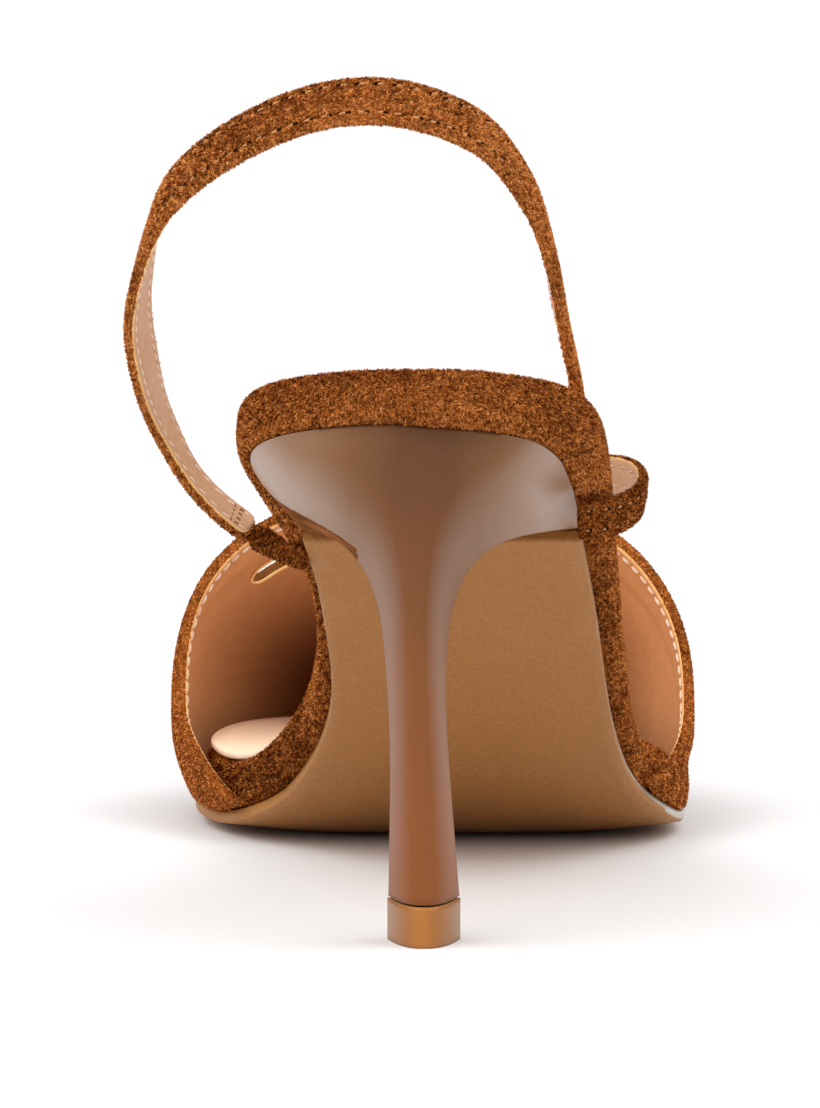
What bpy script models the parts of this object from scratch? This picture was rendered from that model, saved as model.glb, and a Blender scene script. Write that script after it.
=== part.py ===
"""Right-foot stiletto slingback with an open waist, piece by piece as a maker puts it together.

Millimetres in the tables, metres in the meshes. +X is the outer side of the foot, +Y points to
the toe, +Z is up. The origin is the middle of the heel tip's lower face, on the floor.
"""

from functools import lru_cache

import bmesh
import bpy
import numpy as np

MM = 0.001
GAP = 0.3
SHARP_ANGLE = np.radians(38)
CURVE_SAMPLES = 900
SIDES = ("medial", "lateral")


def table(names, rows):
    """Named columns from the rows of a short table."""
    return dict(zip(names.split(), np.array(rows, float).T))


# Sole line: underside of the outsole along the foot, and the thickness of the rim board over it.
SOLE_LINE = table("y z rim", (
    (-16, 77.7, 8.0),
    (8, 69.3, 8.0),
    (31, 57.2, 8.0),
    (55, 40.3, 8.0),
    (80, 21.3, 8.0),
    (100, 8.2, 8.0),
    (114, 2.0, 8.0),
    (124, 0.0, 8.0),
    (142, 0.0, 8.3),
    (160, 0.0, 8.2),
    (185, 1.0, 6.2),
    (206, 2.8, 4.0),
    (226, 5.6, 3.2),
))

# Outline of the rim board, inner (medial) and outer (lateral) side, from heel back to toe.
MEDIAL_SIDE = table("y x", (
    (-15.8, -5.0),
    (-13.6, -14.6),
    (-7.0, -23.6),
    (3.0, -27.6),
    (13.0, -27.2),
    (30.0, -22.7),
    (48.0, -17.2),
    (66.0, -16.1),
    (82.0, -18.2),
    (100.0, -24.2),
    (118.0, -30.6),
    (138.0, -35.2),
    (158.0, -33.0),
    (178.0, -25.0),
    (198.0, -16.2),
    (213.0, -9.0),
    (219.5, -4.8),
    (222.0, -1.0),
))
LATERAL_SIDE = table("y x", (
    (-15.8, 4.0),
    (-13.6, 11.4),
    (-7.0, 20.4),
    (4.0, 25.6),
    (15.0, 27.3),
    (30.0, 28.4),
    (48.0, 29.6),
    (70.0, 31.2),
    (90.0, 33.2),
    (104.0, 35.8),
    (116.0, 38.6),
    (128.0, 40.4),
    (141.0, 39.6),
    (157.0, 35.2),
    (177.0, 27.4),
    (197.0, 18.0),
    (213.0, 10.4),
    (219.5, 6.4),
    (222.0, 3.0),
))
HEEL_BACK = MEDIAL_SIDE["y"][0]
TOE = MEDIAL_SIDE["y"][-1]
OUTLINE_ROWS = 46
OUTLINE_END_CROWDING = 0.55
DENSE_ROWS = 400
BOARD_COLUMNS = 6
SLOPE_STEP = 0.5

# Forefoot bottom: flat in the middle, turned up towards the edges.
CAMBER = 1.5
CAMBER_FLAT_SHARE = 0.5
CAMBER_LIMIT = 1.4
CAMBER_FADE = table("y share", ((70, 0.0), (112, 0.8), (125, 1.0), (170, 1.0), (204, 0.2), (216, 0.0)))

HEEL_BREAST = 31.0
OUTSOLE_THICK = 2.0
OUTSOLE_START = HEEL_BREAST + GAP
OUTSOLE_INSET = table("y medial lateral", (
    (31, 3.8, 4.6),
    (53, 1.2, 3.2),
    (75, 2.3, 2.4),
    (98, 2.4, 0.6),
    (112, 0.2, -1.8),
    (126, -1.2, -2.0),
    (150, -2.0, -2.0),
    (222, -2.0, -2.0),
))
FOOTBED_BASE = OUTSOLE_THICK + GAP
# Rim edge of the footbed from its underside up: share of the thickness and inset of the outline.
FOOTBED_EDGE = table("share inset", (
    (0.0, 1.3),
    (0.08, 0.35),
    (0.25, 0.0),
    (0.72, 0.0),
    (0.92, 0.6),
    (1.0, 2.0),
))
SOCK_THICK = 1.1
# The sock lies in a hollow of the rim at seat and waist, and on top of the board in the vamp.
SOCK_BED = table("y hollow medial lateral", (
    (-16, 1.4, 2.4, 2.4),
    (90, 1.4, 2.4, 2.4),
    (106, 0.0, 2.4, 2.8),
    (113, 0.0, 2.2, 4.0),
    (127, 0.0, 0.6, 6.4),
    (144, 0.0, 0.6, 5.2),
    (172, 0.0, 0.6, 2.4),
    (200, 0.0, 2.4, 2.4),
    (222, 0.0, 2.4, 2.4),
))
HOLLOW_INSET = 2.15

VAMP_WALL = 1.8
VAMP_ROUNDNESS = 2.35
VAMP_BELLY_SHARE = 0.6
VAMP_TUCK = 2.6
VAMP_COLUMNS = 30
VAMP_ROWS = 24
VAMP_TOE_CROWDING = 1.5
# Upper over the forefoot, one section a row: crown height, belly height, bulge past the sole edge.
VAMP = table("y crown belly medial lateral", (
    (98, 84.0, 24.0, 1.6, 0.4),
    (111, 76.0, 22.0, 2.0, 0.8),
    (125, 67.5, 19.5, 2.6, 1.0),
    (138, 60.5, 18.0, 3.0, 1.6),
    (150, 54.0, 17.0, 4.0, 2.0),
    (162, 46.0, 16.0, 4.0, 2.2),
    (175, 37.5, 15.5, 3.4, 2.0),
    (190, 29.5, 13.5, 2.4, 1.6),
    (204, 23.5, 11.5, 1.5, 1.2),
    (214, 20.0, 10.5, 1.0, 0.9),
    (220, 17.2, 9.8, 0.6, 0.6),
    (224.1, 13.0, 9.2, 0.2, 0.2),
))
# Top edge of the vamp: share 0 at the throat, 1 at the sole, with the station on each side.
TOPLINE = table("share medial lateral", (
    (0.0, 151.0, 151.0),
    (0.2, 149.6, 149.0),
    (0.4, 145.0, 143.5),
    (0.6, 136.0, 131.0),
    (0.8, 123.5, 115.0),
    (1.0, 111.0, 100.0),
))
SLOT_STATION = 161.0
SLOT_WIDTH = 4.8
SLOT_REACH = 0.315
SLOT_DEPTH = 4.0
SLOT_END_HALF = 0.1
SLOT_SECTIONS = 25

HEEL_SEAT_INSET = table("y medial lateral", (
    (-16, 2.2, 5.0),
    (0, 1.9, 6.0),
    (12, 1.9, 5.7),
    (22, 2.5, 5.0),
    (31, 3.4, 4.8),
))
HEEL_BREAST_HOLLOW = 0.22
HEEL_BACK_FLAT = 0.12
HEEL_FLANK_TURN = np.radians(60)
HEEL_ROWS = 13
HEEL_COLUMNS = 6
# Stiletto sections from the tip up: height at the back and at the breast, reach, half width,
# sideways lean, and how far the section has turned into the horseshoe of the seat.
HEEL = table("z_back z_breast y_back y_breast half lean seat", (
    (6.5, 6.5, -5.5, 5.4, 5.30, 0.0, 0.0),
    (16.0, 16.0, -5.2, 4.9, 4.85, -0.3, 0.0),
    (26.0, 25.6, -5.0, 4.6, 4.40, -0.6, 0.0),
    (34.6, 33.6, -5.0, 4.8, 4.25, -0.95, 0.0),
    (44.0, 41.0, -5.3, 6.0, 4.50, -1.2, 0.0),
    (50.8, 47.2, -5.8, 8.0, 5.05, -1.25, 0.0),
    (56.2, 51.0, -6.5, 10.2, 6.05, -1.2, 0.04),
    (61.4, 54.2, -7.5, 13.0, 7.50, -1.15, 0.1),
    (66.0, 56.7, -8.8, 16.4, 9.80, -0.9, 0.24),
    (69.8, 58.1, -10.3, 20.0, 12.30, -0.5, 0.42),
    (72.9, 58.6, -11.7, 24.0, 15.20, -0.1, 0.62),
    (75.4, 58.9, -12.9, 27.8, 18.60, 0.7, 0.84),
))
TIP_THICK = HEEL["z_back"][0] - GAP
TIP_HALF = 5.45

STRAP_THICK = 1.6
STRAP_SECTIONS = 76
# Middle line of the sling strap from its inner end round the ankle to the loop on the outer side,
# with the lean of its width from upright towards the toe, its twist to show the lining, both in
# degrees, and its width.
SLING = table("x y z lean twist width", (
    (-26.5, 42.6, 57.6, 68, 0, 8.0),
    (-33.9, 41.0, 64.1, 66, 0, 8.0),
    (-39.1, 34.0, 73.9, 52, 4, 8.0),
    (-41.8, 22.0, 84.2, 42, 16, 8.0),
    (-42.4, 9.0, 95.5, 38, 20, 8.0),
    (-37.3, -8.0, 112.1, 41, 5, 8.0),
    (-25.8, -18.0, 121.6, 43, 0, 8.0),
    (-13.7, -23.2, 126.3, 43, 0, 8.0),
    (-3.6, -23.6, 126.5, 43, 0, 8.0),
    (7.9, -18.0, 121.9, 47, 0, 8.0),
    (15.2, -8.0, 112.4, 51, 2, 8.0),
    (18.4, 2.0, 103.0, 54, 6, 8.0),
    (20.4, 14.0, 92.4, 55, 8, 8.0),
    (23.1, 31.0, 78.8, 46, 6, 8.0),
    (23.4, 41.4, 70.0, 20, 0, 6.8),
    (26.6, 46.0, 66.1, -4, 0, 5.8),
    (30.4, 45.0, 65.6, -12, 2, 5.8),
    (32.5, 39.4, 64.8, -16, 6, 5.8),
    (32.4, 31.6, 63.2, -16, 7, 5.8),
    (29.8, 25.0, 61.9, -14, 4, 5.8),
    (26.8, 21.8, 61.5, -12, 0, 5.8),
    (23.3, 20.6, 61.4, -12, 0, 5.8),
))
TAB_THICK = 1.6
TAB_SECTIONS = 12
# Middle line of the tab from the strap's inner end to its seat under the rim at the waist.
TAB = table("x y z lean twist width", (
    (-26.1, 42.7, 57.25, 66, 0, 3.8),
    (-25.0, 42.5, 56.3, 34, 0, 3.8),
    (-23.3, 40.8, 55.5, -14, 0, 3.8),
    (-21.0, 38.5, 54.5, -36, 0, 3.8),
    (-18.2, 36.6, 53.7, -44, 0, 3.8),
))
RIBBON_CHAMFER = 0.5


def hermite(xs, ys, slopes, at):
    """Cubic pieces through the rows with the given slopes; ys and slopes may be vectors."""
    k = np.clip(np.searchsorted(xs, at, side="right") - 1, 0, len(xs) - 2)
    step = xs[k + 1] - xs[k]
    u = (at - xs[k]) / step
    if ys.ndim > 1:
        u, step = u[..., None], step[..., None]
    value = ys[k] * (1 + 2 * u) * (1 - u) ** 2 + ys[k + 1] * u ** 2 * (3 - 2 * u)
    return value + step * u * (1 - u) * (slopes[k] * (1 - u) - slopes[k + 1] * u)


def smooth(xs, ys, at):
    """A curve through the rows of a table that never overshoots them."""
    step, rise = np.diff(xs), np.diff(ys) / np.diff(xs)
    product = rise[1:] * rise[:-1]
    near, far = step[1:] + 2 * step[:-1], 2 * step[1:] + step[:-1]
    blend = near * rise[1:] + far * rise[:-1]
    slopes = np.r_[rise[0], np.zeros(len(xs) - 2), rise[-1]]
    rising = product > 0
    slopes[1:-1][rising] = ((near + far) * product)[rising] / blend[rising]
    return hermite(xs, ys, slopes, np.clip(np.asarray(at, float), xs[0], xs[-1]))


def column(rows, name, at):
    return smooth(rows["y"], rows[name], at)


def spread(run, shares):
    """Points at shares of the length of a run of points."""
    length = np.r_[0, np.cumsum(np.linalg.norm(np.diff(run, axis=0), axis=1))]
    return np.stack([np.interp(shares * length[-1], length, axis) for axis in run.T], -1)


def curve_through(points, shares):
    """Points at shares of the length of a smooth curve through the given points."""
    points = np.asarray(points, float)
    chord = np.diff(points, axis=0)
    step = np.linalg.norm(chord, axis=1) ** 0.5
    rise = chord / step[:, None]
    before, after = step[:-1, None], step[1:, None]
    inner = (rise[:-1] * after + rise[1:] * before) / (before + after)
    slopes = np.vstack([2 * rise[0] - inner[0], inner, 2 * rise[-1] - inner[-1]])
    knots = np.r_[0, np.cumsum(step)]
    return spread(hermite(knots, points, slopes, np.linspace(0, knots[-1], CURVE_SAMPLES)), shares)


def from_station(run, start, rows):
    """The part of a side from a station to the toe, its points closer set at both ends."""
    even = np.linspace(0, 1, rows)
    crowded = (1 - np.cos(np.pi * even)) / 2
    shares = even + OUTLINE_END_CROWDING * (crowded - even)
    return spread(run[run[:, 0] >= start], shares)


def outline_side(side, rows):
    """One whole side of the outline as (y, x), from the heel back to the toe."""
    corners = MEDIAL_SIDE if side == "medial" else LATERAL_SIDE
    dense = curve_through(np.stack([corners["y"], corners["x"]], -1), np.linspace(0, 1, CURVE_SAMPLES))
    return from_station(dense, HEEL_BACK, rows)


@lru_cache(maxsize=None)
def grown_outline(margin):
    """Both sides of the whole outline, grown outwards by a margin."""
    whole = [outline_side(side, DENSE_ROWS) for side in SIDES]
    return dict(zip(SIDES, inset_sides(*whole, -margin)))


def edge_x(side, y, margin=0.0):
    """Sideways place of the grown outline's edge at a station."""
    edge = grown_outline(margin)[side]
    return np.interp(y, edge[:, 0], edge[:, 1])


def sole_z(y):
    return column(SOLE_LINE, "z", y)


def sole_slope(y):
    return (sole_z(y + SLOPE_STEP) - sole_z(y - SLOPE_STEP)) / (2 * SLOPE_STEP)


def camber(y, x):
    """Lift of the forefoot bottom at a point, none in its flat middle."""
    medial, lateral = edge_x("medial", y), edge_x("lateral", y)
    across = np.abs(2 * x - medial - lateral) / (lateral - medial)
    raised = np.clip((across - CAMBER_FLAT_SHARE) / (1 - CAMBER_FLAT_SHARE), 0, CAMBER_LIMIT)
    return CAMBER * column(CAMBER_FADE, "share", y) * raised ** 2


def place(flat, height):
    """Point of the sole in space from (y, x) on its outline and a height over its underside."""
    y, x = flat[..., 0], flat[..., 1]
    slope = sole_slope(y)
    length = np.sqrt(1 + slope ** 2)
    up = sole_z(y) + camber(y, x) + height / length
    return np.stack([x, y - height * slope / length, up], -1)


def unit(vectors):
    return vectors / np.linalg.norm(vectors, axis=-1)[:, None]


def span(left, right, columns):
    """Grid of points between two rows of points."""
    across = np.linspace(0, 1, columns + 1)[None, :, None]
    return left[:, None] * (1 - across) + right[:, None] * across


def rim_of(grid):
    """Border of a grid as one closed run of points."""
    return np.concatenate([grid[:, 0], grid[-1, 1:-1], grid[::-1, -1], grid[0, -2:0:-1]])


def inset_sides(left, right, inset):
    """Both sides of an outline moved inwards along its normals, by a number for each row."""
    loop = np.concatenate([left, right[::-1]])
    ahead, behind = np.roll(loop, -1, axis=0), np.roll(loop, 1, axis=0)
    run = unit(ahead - behind)
    normal = np.stack([-run[:, 1], run[:, 0]], -1)
    amount = np.broadcast_to(inset, (2, len(left)))
    amount = np.concatenate([amount[0], amount[1][::-1]])
    moved = loop + normal * amount[:, None]
    return moved[:len(left)], moved[len(left):][::-1]


def material(name, colour, roughness, metallic=0.0):
    made = bpy.data.materials.new(name)
    made.use_nodes = True
    shader = made.node_tree.nodes["Principled BSDF"]
    shader.inputs["Base Color"].default_value = (*colour, 1.0)
    shader.inputs["Roughness"].default_value = roughness
    shader.inputs["Metallic"].default_value = metallic
    return made


def add_solid(name, points, faces, look, collection):
    mesh = bpy.data.meshes.new(name)
    mesh.from_pydata((np.asarray(points) * MM).tolist(), [], faces)
    edit = bmesh.new()
    edit.from_mesh(mesh)
    bmesh.ops.recalc_face_normals(edit, faces=edit.faces)
    edit.to_mesh(mesh)
    edit.free()
    mesh.shade_smooth()
    mesh.set_sharp_from_angle(angle=SHARP_ANGLE)
    mesh.materials.append(look)
    made = bpy.data.objects.new(name, mesh)
    collection.objects.link(made)
    return made


def grid_faces(rows, columns, first=0):
    at = first + np.arange(rows * columns).reshape(rows, columns)
    corners = np.stack([at[:-1, :-1], at[1:, :-1], at[1:, 1:], at[:-1, 1:]], -1)
    return corners.reshape(-1, 4).tolist()


def ring_faces(lower, upper):
    return np.stack([lower, np.roll(lower, -1), np.roll(upper, -1), upper], -1).tolist()


def stack(name, grids, look, collection):
    """Solid through a pile of grids: the first and last close it, their borders are its wall."""
    rows, columns = grids[0].shape[:2]
    number = rim_of(np.arange(rows * columns).reshape(rows, columns, 1))[:, 0]
    points = [grids[0].reshape(-1, 3)]
    faces = grid_faces(rows, columns)
    count = rows * columns
    lower = number
    for grid in grids[1:-1]:
        points.append(rim_of(grid))
        upper = count + np.arange(len(number))
        faces += ring_faces(lower, upper)
        count += len(number)
        lower = upper
    points.append(grids[-1].reshape(-1, 3))
    faces += grid_faces(rows, columns, count)
    faces += ring_faces(lower, count + number)
    return add_solid(name, np.vstack(points), faces, look, collection)


def make_outsole(look, collection):
    whole = [outline_side(side, DENSE_ROWS) for side in SIDES]
    inset = [column(OUTSOLE_INSET, name, side[:, 0]) for name, side in zip(SIDES, whole)]
    sides = [from_station(side, OUTSOLE_START, OUTLINE_ROWS) for side in inset_sides(*whole, inset)]
    for side in sides:
        side[0, 0] = OUTSOLE_START
    flat = span(*sides, BOARD_COLUMNS)
    grids = [place(flat, height) for height in (0.0, OUTSOLE_THICK)]
    return stack("outsole", grids, look, collection)


def footbed_top(y):
    """Height of the footbed's upper face inside its rim."""
    return FOOTBED_BASE + column(SOLE_LINE, "rim", y) - column(SOCK_BED, "hollow", y)


def make_footbed(look, collection):
    sides = [outline_side(side, OUTLINE_ROWS) for side in SIDES]
    grids = []
    for share, inset in zip(FOOTBED_EDGE["share"], FOOTBED_EDGE["inset"]):
        flat = span(*inset_sides(*sides, inset), BOARD_COLUMNS)
        height = FOOTBED_BASE + share * column(SOLE_LINE, "rim", flat[..., 0])
        grids.append(place(flat, height))
    flat = span(*inset_sides(*sides, HOLLOW_INSET), BOARD_COLUMNS)
    grids.append(place(flat, footbed_top(flat[..., 0])))
    return stack("footbed", grids, look, collection)


def make_sock(look, collection):
    sides = [outline_side(side, OUTLINE_ROWS) for side in SIDES]
    inset = [column(SOCK_BED, name, side[:, 0]) for name, side in zip(SIDES, sides)]
    flat = span(*inset_sides(*sides, inset), BOARD_COLUMNS)
    base = footbed_top(flat[..., 0]) + GAP
    grids = [place(flat, base), place(flat, base + SOCK_THICK)]
    return stack("sock", grids, look, collection)


def vamp_section(y, share, wall):
    """Point of the vamp at a station; share runs from -1 at the inner sole edge to 1 at the outer.

    wall 0 is the lining side, VAMP_WALL the suede side.
    """
    away = np.abs(share)
    sign = np.where(share < 0, -1.0, 1.0)
    margin = GAP + wall
    foot = np.where(share < 0, -edge_x("medial", y, margin), edge_x("lateral", y, margin))
    bulge = np.where(share < 0, column(VAMP, "medial", y), column(VAMP, "lateral", y))
    middle = (edge_x("medial", y) + edge_x("lateral", y)) / 2
    belly_half = foot + bulge - sign * middle
    crown = column(VAMP, "crown", y) - VAMP_WALL + wall
    belly = column(VAMP, "belly", y)
    floor_point = sole_z(y) + FOOTBED_BASE * np.sqrt(1 + sole_slope(y) ** 2)
    floor_point = floor_point + camber(y, sign * foot)
    turn = np.clip(away / VAMP_BELLY_SHARE, 0, 1) * np.pi / 2
    drop = np.clip((away - VAMP_BELLY_SHARE) / (1 - VAMP_BELLY_SHARE), 0, 1)
    power = 2 / VAMP_ROUNDNESS
    half = belly_half * np.sin(turn) ** power - bulge * drop ** VAMP_TUCK
    arch = belly + (crown - belly) * np.clip(np.cos(turn), 0, 1) ** power
    height = np.where(away > VAMP_BELLY_SHARE, belly + (floor_point - belly) * drop, arch)
    return np.stack([middle + sign * half, y + 0 * half, height], -1)


def topline_station(share):
    away = np.abs(share)
    inner = smooth(TOPLINE["share"], TOPLINE["medial"], away)
    outer = smooth(TOPLINE["share"], TOPLINE["lateral"], away)
    return np.where(share < 0, inner, outer)


def vamp_skin(wall):
    """Grid over the vamp from its top edge to the toe, one row a section."""
    shares = np.linspace(-1, 1, VAMP_COLUMNS + 1)
    forward = 1 - (1 - np.linspace(0, 1, VAMP_ROWS + 1)) ** VAMP_TOE_CROWDING
    toe = TOE + GAP + wall
    start = topline_station(shares)
    stations = start[None] + (toe - start[None]) * forward[:, None]
    return vamp_section(stations, np.broadcast_to(shares, stations.shape), wall)


def loft(name, rings, look, collection):
    """Solid through closed rings of points, capped at both ends."""
    count, size = rings.shape[:2]
    at = np.arange(count * size).reshape(count, size)
    faces = [at[0].tolist(), at[-1].tolist()]
    for lower, upper in zip(at[:-1], at[1:]):
        faces += ring_faces(lower, upper)
    return add_solid(name, rings.reshape(-1, 3), faces, look, collection)


def make_slot_cutter(cutters, look):
    """Bent bar with round ends that follows the arch of the vamp across the instep."""
    shares = SLOT_REACH * np.sin(np.linspace(-1, 1, SLOT_SECTIONS) * np.pi / 2)
    station = np.full(SLOT_SECTIONS, SLOT_STATION)
    middle = vamp_section(station, shares, VAMP_WALL / 2)
    along = unit(vamp_section(station + 1, shares, VAMP_WALL / 2) - middle)
    out = unit(np.cross(np.gradient(middle, axis=0), along))
    run = np.r_[0, np.cumsum(np.linalg.norm(np.diff(middle, axis=0), axis=1))]
    to_end = np.minimum(run, run[-1] - run)
    radius = SLOT_WIDTH / 2
    inside = np.clip(radius - to_end, 0, None)
    half = np.sqrt(np.clip(radius ** 2 - inside ** 2, SLOT_END_HALF ** 2, None))[:, None]
    front, back = middle + along * half, middle - along * half
    deep = out * SLOT_DEPTH
    corners = np.stack([back - deep, front - deep, front + deep, back + deep], 1)
    cutter = loft("slot_cutter", corners, look, cutters)
    cutter.hide_render = True
    cutter.display_type = "WIRE"
    return cutter


def make_vamp(look, collection, cutters):
    outer, inner = vamp_skin(VAMP_WALL), vamp_skin(0.0)
    rows, columns = outer.shape[:2]
    size = rows * columns
    at = np.arange(size).reshape(rows, columns)
    faces = grid_faces(rows, columns) + grid_faces(rows, columns, size)
    border = np.concatenate([at[::-1, 0], at[0, 1:-1], at[:, -1]])
    faces += np.stack([border[:-1], border[1:], size + border[1:], size + border[:-1]], -1).tolist()
    faces += [at[-1].tolist(), (size + at[-1]).tolist()]
    faces.append([at[-1, 0], at[-1, -1], size + at[-1, -1], size + at[-1, 0]])
    points = np.vstack([outer.reshape(-1, 3), inner.reshape(-1, 3)])
    vamp = add_solid("vamp", points, faces, look, collection)
    cut = vamp.modifiers.new("instep slot", "BOOLEAN")
    cut.operation = "DIFFERENCE"
    cut.object = make_slot_cutter(cutters, look)
    return vamp


def heel_seat_sides(rows):
    """Horseshoe of the heel's seat as (y, x) sides from the back to the straight breast."""
    sides = [outline_side(side, DENSE_ROWS) for side in SIDES]
    sides = [spread(side[side[:, 0] <= HEEL_BREAST + 1], np.linspace(0, 1, rows)) for side in sides]
    inset = [column(HEEL_SEAT_INSET, name, side[:, 0]) for name, side in zip(SIDES, sides)]
    seat = inset_sides(*sides, inset)
    for name, inwards, moved, side in zip(SIDES, (1, -1), seat, sides):
        moved[-1] = HEEL_BREAST, side[-1, 1] + inwards * HEEL_SEAT_INSET[name][-1]
    return seat


def round_back_sides(half, y_back, y_breast, lean, rows):
    """Sides of a section with a round back and a straight breast, as (y, x)."""
    turn = np.linspace(HEEL_BACK_FLAT, 1, rows) * HEEL_FLANK_TURN
    end = np.cos(HEEL_FLANK_TURN)
    y = y_breast - (y_breast - y_back) * (np.cos(turn) - end) / (1 - end)
    reach = half * np.sin(turn) / np.sin(HEEL_FLANK_TURN)
    return [np.stack([y, lean + side * reach], -1) for side in (-1, 1)]


def make_heel(look, collection):
    seat = heel_seat_sides(HEEL_ROWS)
    seat_back, seat_front = np.min(seat, axis=(0, 1))[0], np.max(seat, axis=(0, 1))[0]
    seat_half = (seat[1][-1, 1] - seat[0][-1, 1]) / 2
    seat_middle = (seat[1][-1, 1] + seat[0][-1, 1]) / 2
    across = np.linspace(-1, 1, HEEL_COLUMNS + 1)
    grids = []
    for z_back, z_breast, y_back, y_breast, half, lean, turned in zip(*HEEL.values()):
        round_sides = round_back_sides(half, y_back, y_breast, lean, HEEL_ROWS)
        reach = (y_breast - y_back) / (seat_front - seat_back)
        sides = []
        for round_side, seat_side in zip(round_sides, seat):
            y = y_back + (seat_side[:, 0] - seat_back) * reach
            x = lean + (seat_side[:, 1] - seat_middle) * half / seat_half
            sides.append(round_side * (1 - turned) + np.stack([y, x], -1) * turned)
        grid = span(*sides, HEEL_COLUMNS)
        grid[-1, :, 0] -= HEEL_BREAST_HOLLOW * half * (1 - across ** 2)
        rise = (grid[..., 0] - y_back) / (y_breast - y_back)
        grids.append(np.stack([grid[..., 1], grid[..., 0], z_back + (z_breast - z_back) * rise], -1))
    grids.append(place(span(*seat, HEEL_COLUMNS), FOOTBED_BASE - GAP))
    return stack("heel", grids, look, collection)


def make_heel_tip(look, collection):
    y_back, y_breast = HEEL["y_back"][0], HEEL["y_breast"][0]
    flat = span(*round_back_sides(TIP_HALF, y_back, y_breast, 0.0, HEEL_ROWS), HEEL_COLUMNS)
    grids = []
    for height in (0.0, TIP_THICK):
        grids.append(np.stack([flat[..., 1], flat[..., 0], np.full(flat.shape[:2], height)], -1))
    return stack("heel_tip", grids, look, collection)


def ribbon(name, route, thick, sections, look, collection):
    """Flat band along a route, its width leaning from upright by the route's lean, then twisted."""
    shares = np.linspace(0, 1, sections)
    corners = np.stack([route["x"], route["y"], route["z"]], -1)
    path = curve_through(corners, shares)
    chords = np.linalg.norm(np.diff(corners, axis=0), axis=1)
    stations = np.r_[0, np.cumsum(chords)] / chords.sum()
    lean, twist = [np.radians(smooth(stations, route[name], shares)) for name in ("lean", "twist")]
    run = unit(np.gradient(path, axis=0))
    upright = np.stack([0 * lean, np.sin(lean), np.cos(lean)], -1)
    flat = unit(upright - run * np.sum(upright * run, axis=1)[:, None])
    square = np.cross(run, flat)
    wide = flat * np.cos(twist)[:, None] - square * np.sin(twist)[:, None]
    out = np.cross(run, wide)
    half_wide, half_thick = smooth(stations, route["width"], shares)[:, None] / 2, thick / 2
    flat_wide, flat_thick = half_wide - RIBBON_CHAMFER, half_thick - RIBBON_CHAMFER
    corner = [(half_wide, flat_thick), (flat_wide, half_thick)]
    upper = corner + [(-a, b) for a, b in corner[::-1]]
    lower = [(-a, -b) for a, b in upper]
    rings = np.stack([path + wide * a + out * b for a, b in upper + lower], 1)
    return loft(name, rings, look, collection)


for old in list(bpy.data.objects):
    bpy.data.objects.remove(old, do_unlink=True)

shoe = bpy.data.collections.new("stiletto_slingback")
slot_cutters = bpy.data.collections.new("cutters")
for group in (shoe, slot_cutters):
    bpy.context.scene.collection.children.link(group)

suede = material("tan suede", (0.30, 0.125, 0.042), 0.95)
make_heel_tip(material("amber top lift", (0.48, 0.24, 0.075), 0.45), shoe)
make_heel(material("taupe lacquer", (0.24, 0.125, 0.078), 0.18), shoe)
make_outsole(material("tan sole", (0.34, 0.19, 0.10), 0.5), shoe)
make_footbed(suede, shoe)
make_sock(material("peach lining", (0.68, 0.43, 0.30), 0.7), shoe)
make_vamp(suede, shoe, slot_cutters)
ribbon("sling_strap", SLING, STRAP_THICK, STRAP_SECTIONS, suede, shoe)
ribbon("strap_tab", TAB, TAB_THICK, TAB_SECTIONS, suede, shoe)
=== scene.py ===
"""Looks of a right-foot suede slingback with a lacquered stiletto heel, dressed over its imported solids.

The shoe's tables and sizes are in millimetres, as on a maker's sheet, and MM turns them into metres. The
studio is in metres. +X is the outer side of the foot, +Y points to the toe, +Z is up.
"""

import bmesh
import bpy
import numpy as np
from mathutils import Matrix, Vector
from mathutils.bvhtree import BVHTree


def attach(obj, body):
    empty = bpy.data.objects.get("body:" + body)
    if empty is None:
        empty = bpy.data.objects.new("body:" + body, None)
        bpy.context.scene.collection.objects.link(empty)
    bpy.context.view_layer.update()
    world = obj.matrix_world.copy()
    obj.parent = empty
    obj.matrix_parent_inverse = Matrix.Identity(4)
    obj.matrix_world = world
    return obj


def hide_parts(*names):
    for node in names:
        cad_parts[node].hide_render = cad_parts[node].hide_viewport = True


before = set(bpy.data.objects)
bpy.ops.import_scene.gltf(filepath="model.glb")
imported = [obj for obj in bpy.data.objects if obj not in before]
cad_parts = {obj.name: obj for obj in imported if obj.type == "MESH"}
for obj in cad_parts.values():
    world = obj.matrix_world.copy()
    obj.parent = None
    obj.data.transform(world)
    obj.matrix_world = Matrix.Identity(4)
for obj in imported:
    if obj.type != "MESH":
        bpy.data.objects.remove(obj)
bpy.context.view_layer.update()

# Studio
# A pale floor that fills the view, in soft light from all round that is strongest from above, with a
# tall bright panel on each side. The camera stands right behind the heel and a little above it.
FLOOR_SIZE = 14.0
FLOOR_COLOUR = (0.86, 0.86, 0.86)
LIGHT_AT_HORIZON = 0.26
LIGHT_AT_TOP = 1.08
LIGHT_FULL_RISE = 0.9
PANEL_EDGE = 0.72
PANEL_CORE = 0.95
PANELS = (
    ((-0.60, -0.38, 0.70), 2.5),
    ((0.68, -0.18, 0.71), 1.9),
)
PHOTO_HEIGHT = 1108
FOCAL_PIXELS = 9720
CAMERA_TARGET = Vector((-0.00207, 0.060, 0.052))
CAMERA_DISTANCE = 1.5
CAMERA_RISE = np.radians(6)


def feed(tree, node, key, value):
    """Sets an input of a node to a plain value, a socket or the first output of another node."""
    if isinstance(value, bpy.types.Node):
        value = value.outputs[0]
    if isinstance(value, bpy.types.NodeSocket):
        tree.links.new(value, node.inputs[key])
    else:
        node.inputs[key].default_value = value


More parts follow.
